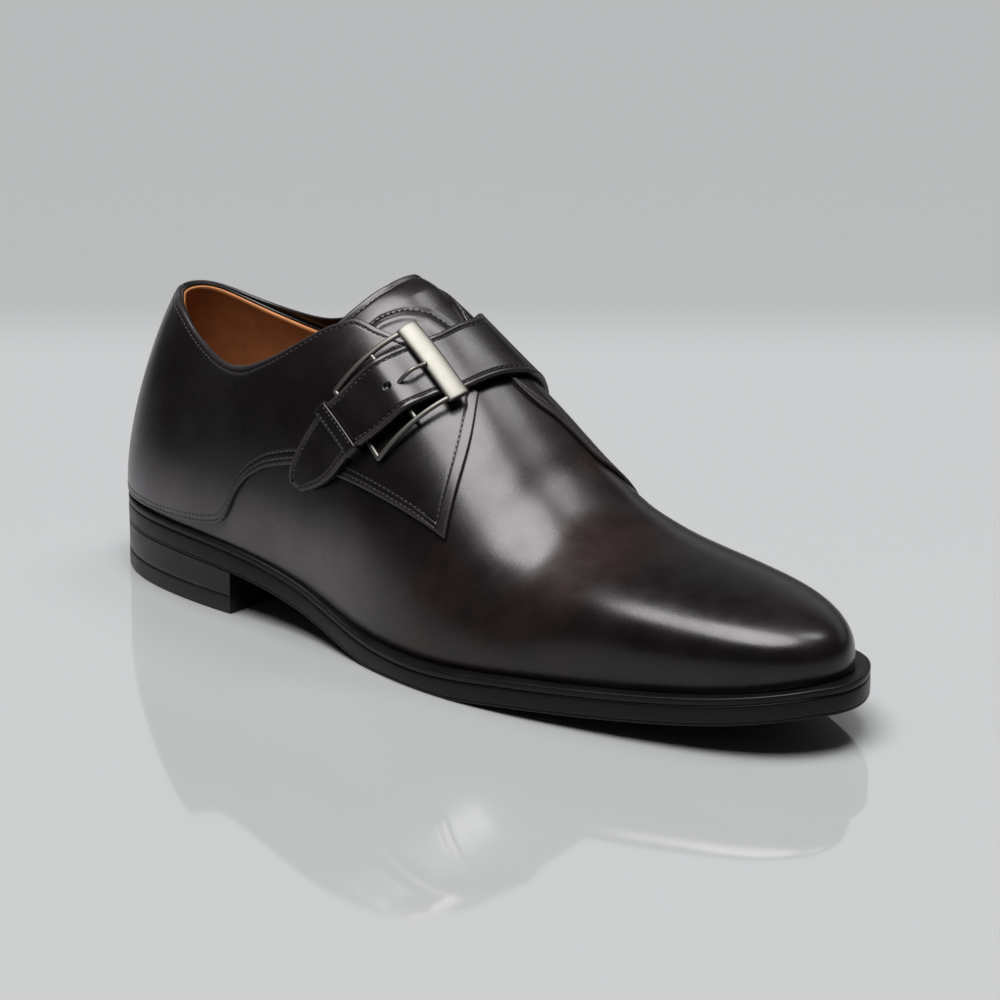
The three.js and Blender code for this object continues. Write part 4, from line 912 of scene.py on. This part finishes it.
for F_, fr in ((F_lat, 1), (F_med, 1)):
    edge_row(F_, 'v0', 1.9, 1.27, .02, .955); edge_row(F_, 'v0', 4.0, 1.27, .02, .955)
    edge_row(F_, 'v1', 2.5, 1.27, .01, .95)
    edge_row(F_, 'u1', 4.2, 1.20, .05, .93)
edge_row(strap_f, 'v0', 2.3, 1.98, .01, .985, pitch=2.0, length=1.4, r=.22)
edge_row(strap_f, 'v1', 2.3, 1.98, .01, .985, pitch=2.0, length=1.4, r=.22)
edge_row(tongue_f, 'v0', 3.0, -.05, .08, .92)


def arc_row(s):
    A = resample(ARC, .05); q = np.linspace(0, len(A) - 1, len(s)); x, w = np.interp(q, np.arange(len(A)), A[:, 0]), np.interp(q, np.arange(len(A)), A[:, 1])
    crest = 1.5 * np.exp(-((w - .02) / .17)**2) * np.clip((123 - x) / 12, 0, 1)
    return Q(x, w, crest - .14), Qn(x, w)


def keeper_row(off):
    """stitches across the keeper's outer face, off mm to either side of its middle line"""
    lo, hi = int(len(kp) * .20), int(len(kp) * .80)
    def g(s):
        q = lo + (hi - lo) * s; I = np.arange(len(kp)); c3 = lambda M: np.stack([np.interp(q, I, M[:, k]) for k in range(3)], -1)
        n_ = c3(upk); n_ = n_ * np.sign(np.sum(n_ * Qn(*strap_xw(11.05, .5)), 1))[:, None]
        return c3(kp) + along * off + n_ * .56, n_
    return g


rows.extend(stitch_row(arc_row, pitch=1.9, length=1.3, r=.2))
for o_ in (-1.55, 1.55):
    rows.extend(stitch_row(keeper_row(o_), pitch=1.7, length=1.2, r=.2))
sv, sf = merge(rows)
threads = make('stitching', sv, sf, M_THREAD, 'burnished_leather')

# -------------------------------------------------------------- floor, lights
def stage_plane():
    n = 25; g = np.linspace(-9, 9, n); V = [(float(x), float(y), 0.0) for x in g for y in g]
    me = bpy.data.meshes.new('stage'); me.from_pydata(V, [], [(i * n + j, (i + 1) * n + j, (i + 1) * n + j + 1, i * n + j + 1) for i in range(n - 1) for j in range(n - 1)])
    ob = bpy.data.objects.new('stage_floor', me); bpy.context.scene.collection.objects.link(ob)
    m, nt, bs = new_mat('mat_stage'); co = obj_coord(nt); a = math.radians(41.39)
    # the floor's colour steps down from FLOOR_NEAR to FLOOR_FAR along a line behind the shoe: painted shade for a far
    # floor and backdrop that get less light
    mp = nt.nodes.new('ShaderNodeVectorMath'); mp.operation = 'DOT_PRODUCT'; nt.links.new(co, mp.inputs[0]); mp.inputs[1].default_value = (-math.sin(a), math.cos(a), 0)
    mr = nt.nodes.new('ShaderNodeMapRange'); nt.links.new(mp.outputs['Value'], mr.inputs['Value']); mr.interpolation_type = 'SMOOTHSTEP'
    mr.inputs['From Min'].default_value = .31; mr.inputs['From Max'].default_value = .405
    nt.links.new(mix_rgb(nt, mr.outputs[0], FLOOR_NEAR, FLOOR_FAR), bs.inputs['Base Color'])
    bs.inputs['Roughness'].default_value = .05; bs.inputs['IOR'].default_value = 2.6
    me.materials.append(m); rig.stage(ob)


FLOOR_NEAR, FLOOR_FAR = (.440, .447, .451), (.343, .349, .351)
stage_plane()


def area(name, loc, target, size, power, color=(1, 1, 1), shape='RECTANGLE', size_y=None):
    l = bpy.data.lights.new(name, 'AREA'); l.energy = power; l.color = color; l.shape = shape; l.size = size
    if size_y: l.size_y = size_y
    o = bpy.data.objects.new(name, l); bpy.context.scene.collection.objects.link(o); o.location = loc
    from mathutils import Vector
    o.rotation_euler = (Vector(target) - Vector(loc)).to_track_quat('-Z', 'Y').to_euler()
    return o


AZ, EL = math.radians(41.39), math.radians(18.69)
back = np.array([math.sin(AZ) * math.cos(EL), -math.cos(AZ) * math.cos(EL), math.sin(EL)])
right = np.array([math.cos(AZ), math.sin(AZ), 0.0])


def rel(r, b, z):   # metres to the right of the view, towards the camera, up
    hb = np.array([math.sin(AZ), -math.cos(AZ), 0.0]); q = right * r + hb * b
    return (float(q[0]), float(q[1]), z)


def sun(name, az, el, angle, strength, color=(1, 1, 1)):
    """round soft source far away; az measured to the right of the view, from the camera"""
    l = bpy.data.lights.new(name, 'SUN'); l.energy = strength; l.angle = math.radians(angle); l.color = color
    o = bpy.data.objects.new(name, l); bpy.context.scene.collection.objects.link(o)
    from mathutils import Vector
    a_ = math.radians(az); c_ = math.cos(math.radians(el)); d = rel(math.sin(a_) * c_, math.cos(a_) * c_, math.sin(math.radians(el)))
    o.rotation_euler = Vector(d).to_track_quat('Z', 'Y').to_euler()
    return o


# the floor takes its own copy of each light, without a mirror image of the lamp in it
for args in (('overhead', -40, 79.5, 44, 4.5), ('back_right', 120, 64, 16, .44)):
    on_shoe = sun(*args); on_floor = sun(args[0] + '_floor', *args[1:]); on_floor.visible_glossy = False
    for lamp, state in ((on_shoe, 'EXCLUDE'), (on_floor, 'INCLUDE')):
        group = bpy.data.collections.new(lamp.name + '_receivers'); group.objects.link(bpy.data.objects['stage_floor'])
        lamp.light_linking.receiver_collection = group
        group.collection_objects[0].light_linking.link_state = state
w = bpy.data.worlds.new('world'); bpy.context.scene.world = w; w.use_nodes = True; wn = w.node_tree
tc = wn.nodes.new('ShaderNodeTexCoord'); sx = wn.nodes.new('ShaderNodeSeparateXYZ'); wn.links.new(tc.outputs['Generated'], sx.inputs[0])


def world_ramp(stops):
    cr = wn.nodes.new('ShaderNodeValToRGB'); wn.links.new(sx.outputs[2], cr.inputs[0]); e = cr.color_ramp.elements
    while len(e) < len(stops): e.new(.5)
    for el_, (p_, v_) in zip(e, stops):
        el_.position = p_; el_.color = (v_, v_ * 1.01, v_ * 1.04, 1)
    return cr.outputs[0]


# a pale low wall on the far side, dark on the near side
far, near = world_ramp([(0.0, .07), (.15, .08), (.22, .38), (.41, .37), (.47, .07), (.60, .035)]), world_ramp([(0.0, .040), (.30, .040), (.60, .045)])
dt = wn.nodes.new('ShaderNodeVectorMath'); dt.operation = 'DOT_PRODUCT'; wn.links.new(tc.outputs['Generated'], dt.inputs[0])
dt.inputs[1].default_value = (-math.sin(AZ), math.cos(AZ), 0)
wm = wn.nodes.new('ShaderNodeMapRange'); wn.links.new(dt.outputs['Value'], wm.inputs['Value']); wm.interpolation_type = 'SMOOTHSTEP'
wm.inputs['From Min'].default_value = .25; wm.inputs['From Max'].default_value = .75
wn.links.new(mix_rgb(wn, wm.outputs[0], near, far), wn.nodes['Background'].inputs[0]); wn.nodes['Background'].inputs[1].default_value = 1.0

# -------------------------------------------------------------------- camera
cam = bpy.data.cameras.new('cam'); co = bpy.data.objects.new('cam', cam); bpy.context.scene.collection.objects.link(co)
F_PX, DIST = 5037.5, 1639.3
cam.sensor_fit = 'HORIZONTAL'; cam.sensor_width = 36.0; cam.lens = F_PX / 1000 * 36.0
tgt = (np.array([150.112, 7.683, 45.587]) - SHIFT) * MM
loc = tgt + back * DIST * MM
from mathutils import Matrix, Vector
fwd_ = -back; r_ = np.cross(fwd_, [0, 0, 1]); r_ /= np.linalg.norm(r_); u_ = np.cross(r_, fwd_)
Mx = Matrix(((r_[0], u_[0], back[0], loc[0]), (r_[1], u_[1], back[1], loc[1]), (r_[2], u_[2], back[2], loc[2]), (0, 0, 0, 1)))
co.matrix_world = Mx
cam.clip_start = .05; cam.clip_end = 50
bpy.context.scene.camera = co
bpy.context.scene.view_settings.view_transform = 'Standard'

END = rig.bounds()
try:
    json.dump({"start": [list(map(float, q)) for q in START], "end": [list(map(float, q)) for q in END]}, open('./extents.json', 'w'))
except Exception as e:
    print('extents.json not written', e)
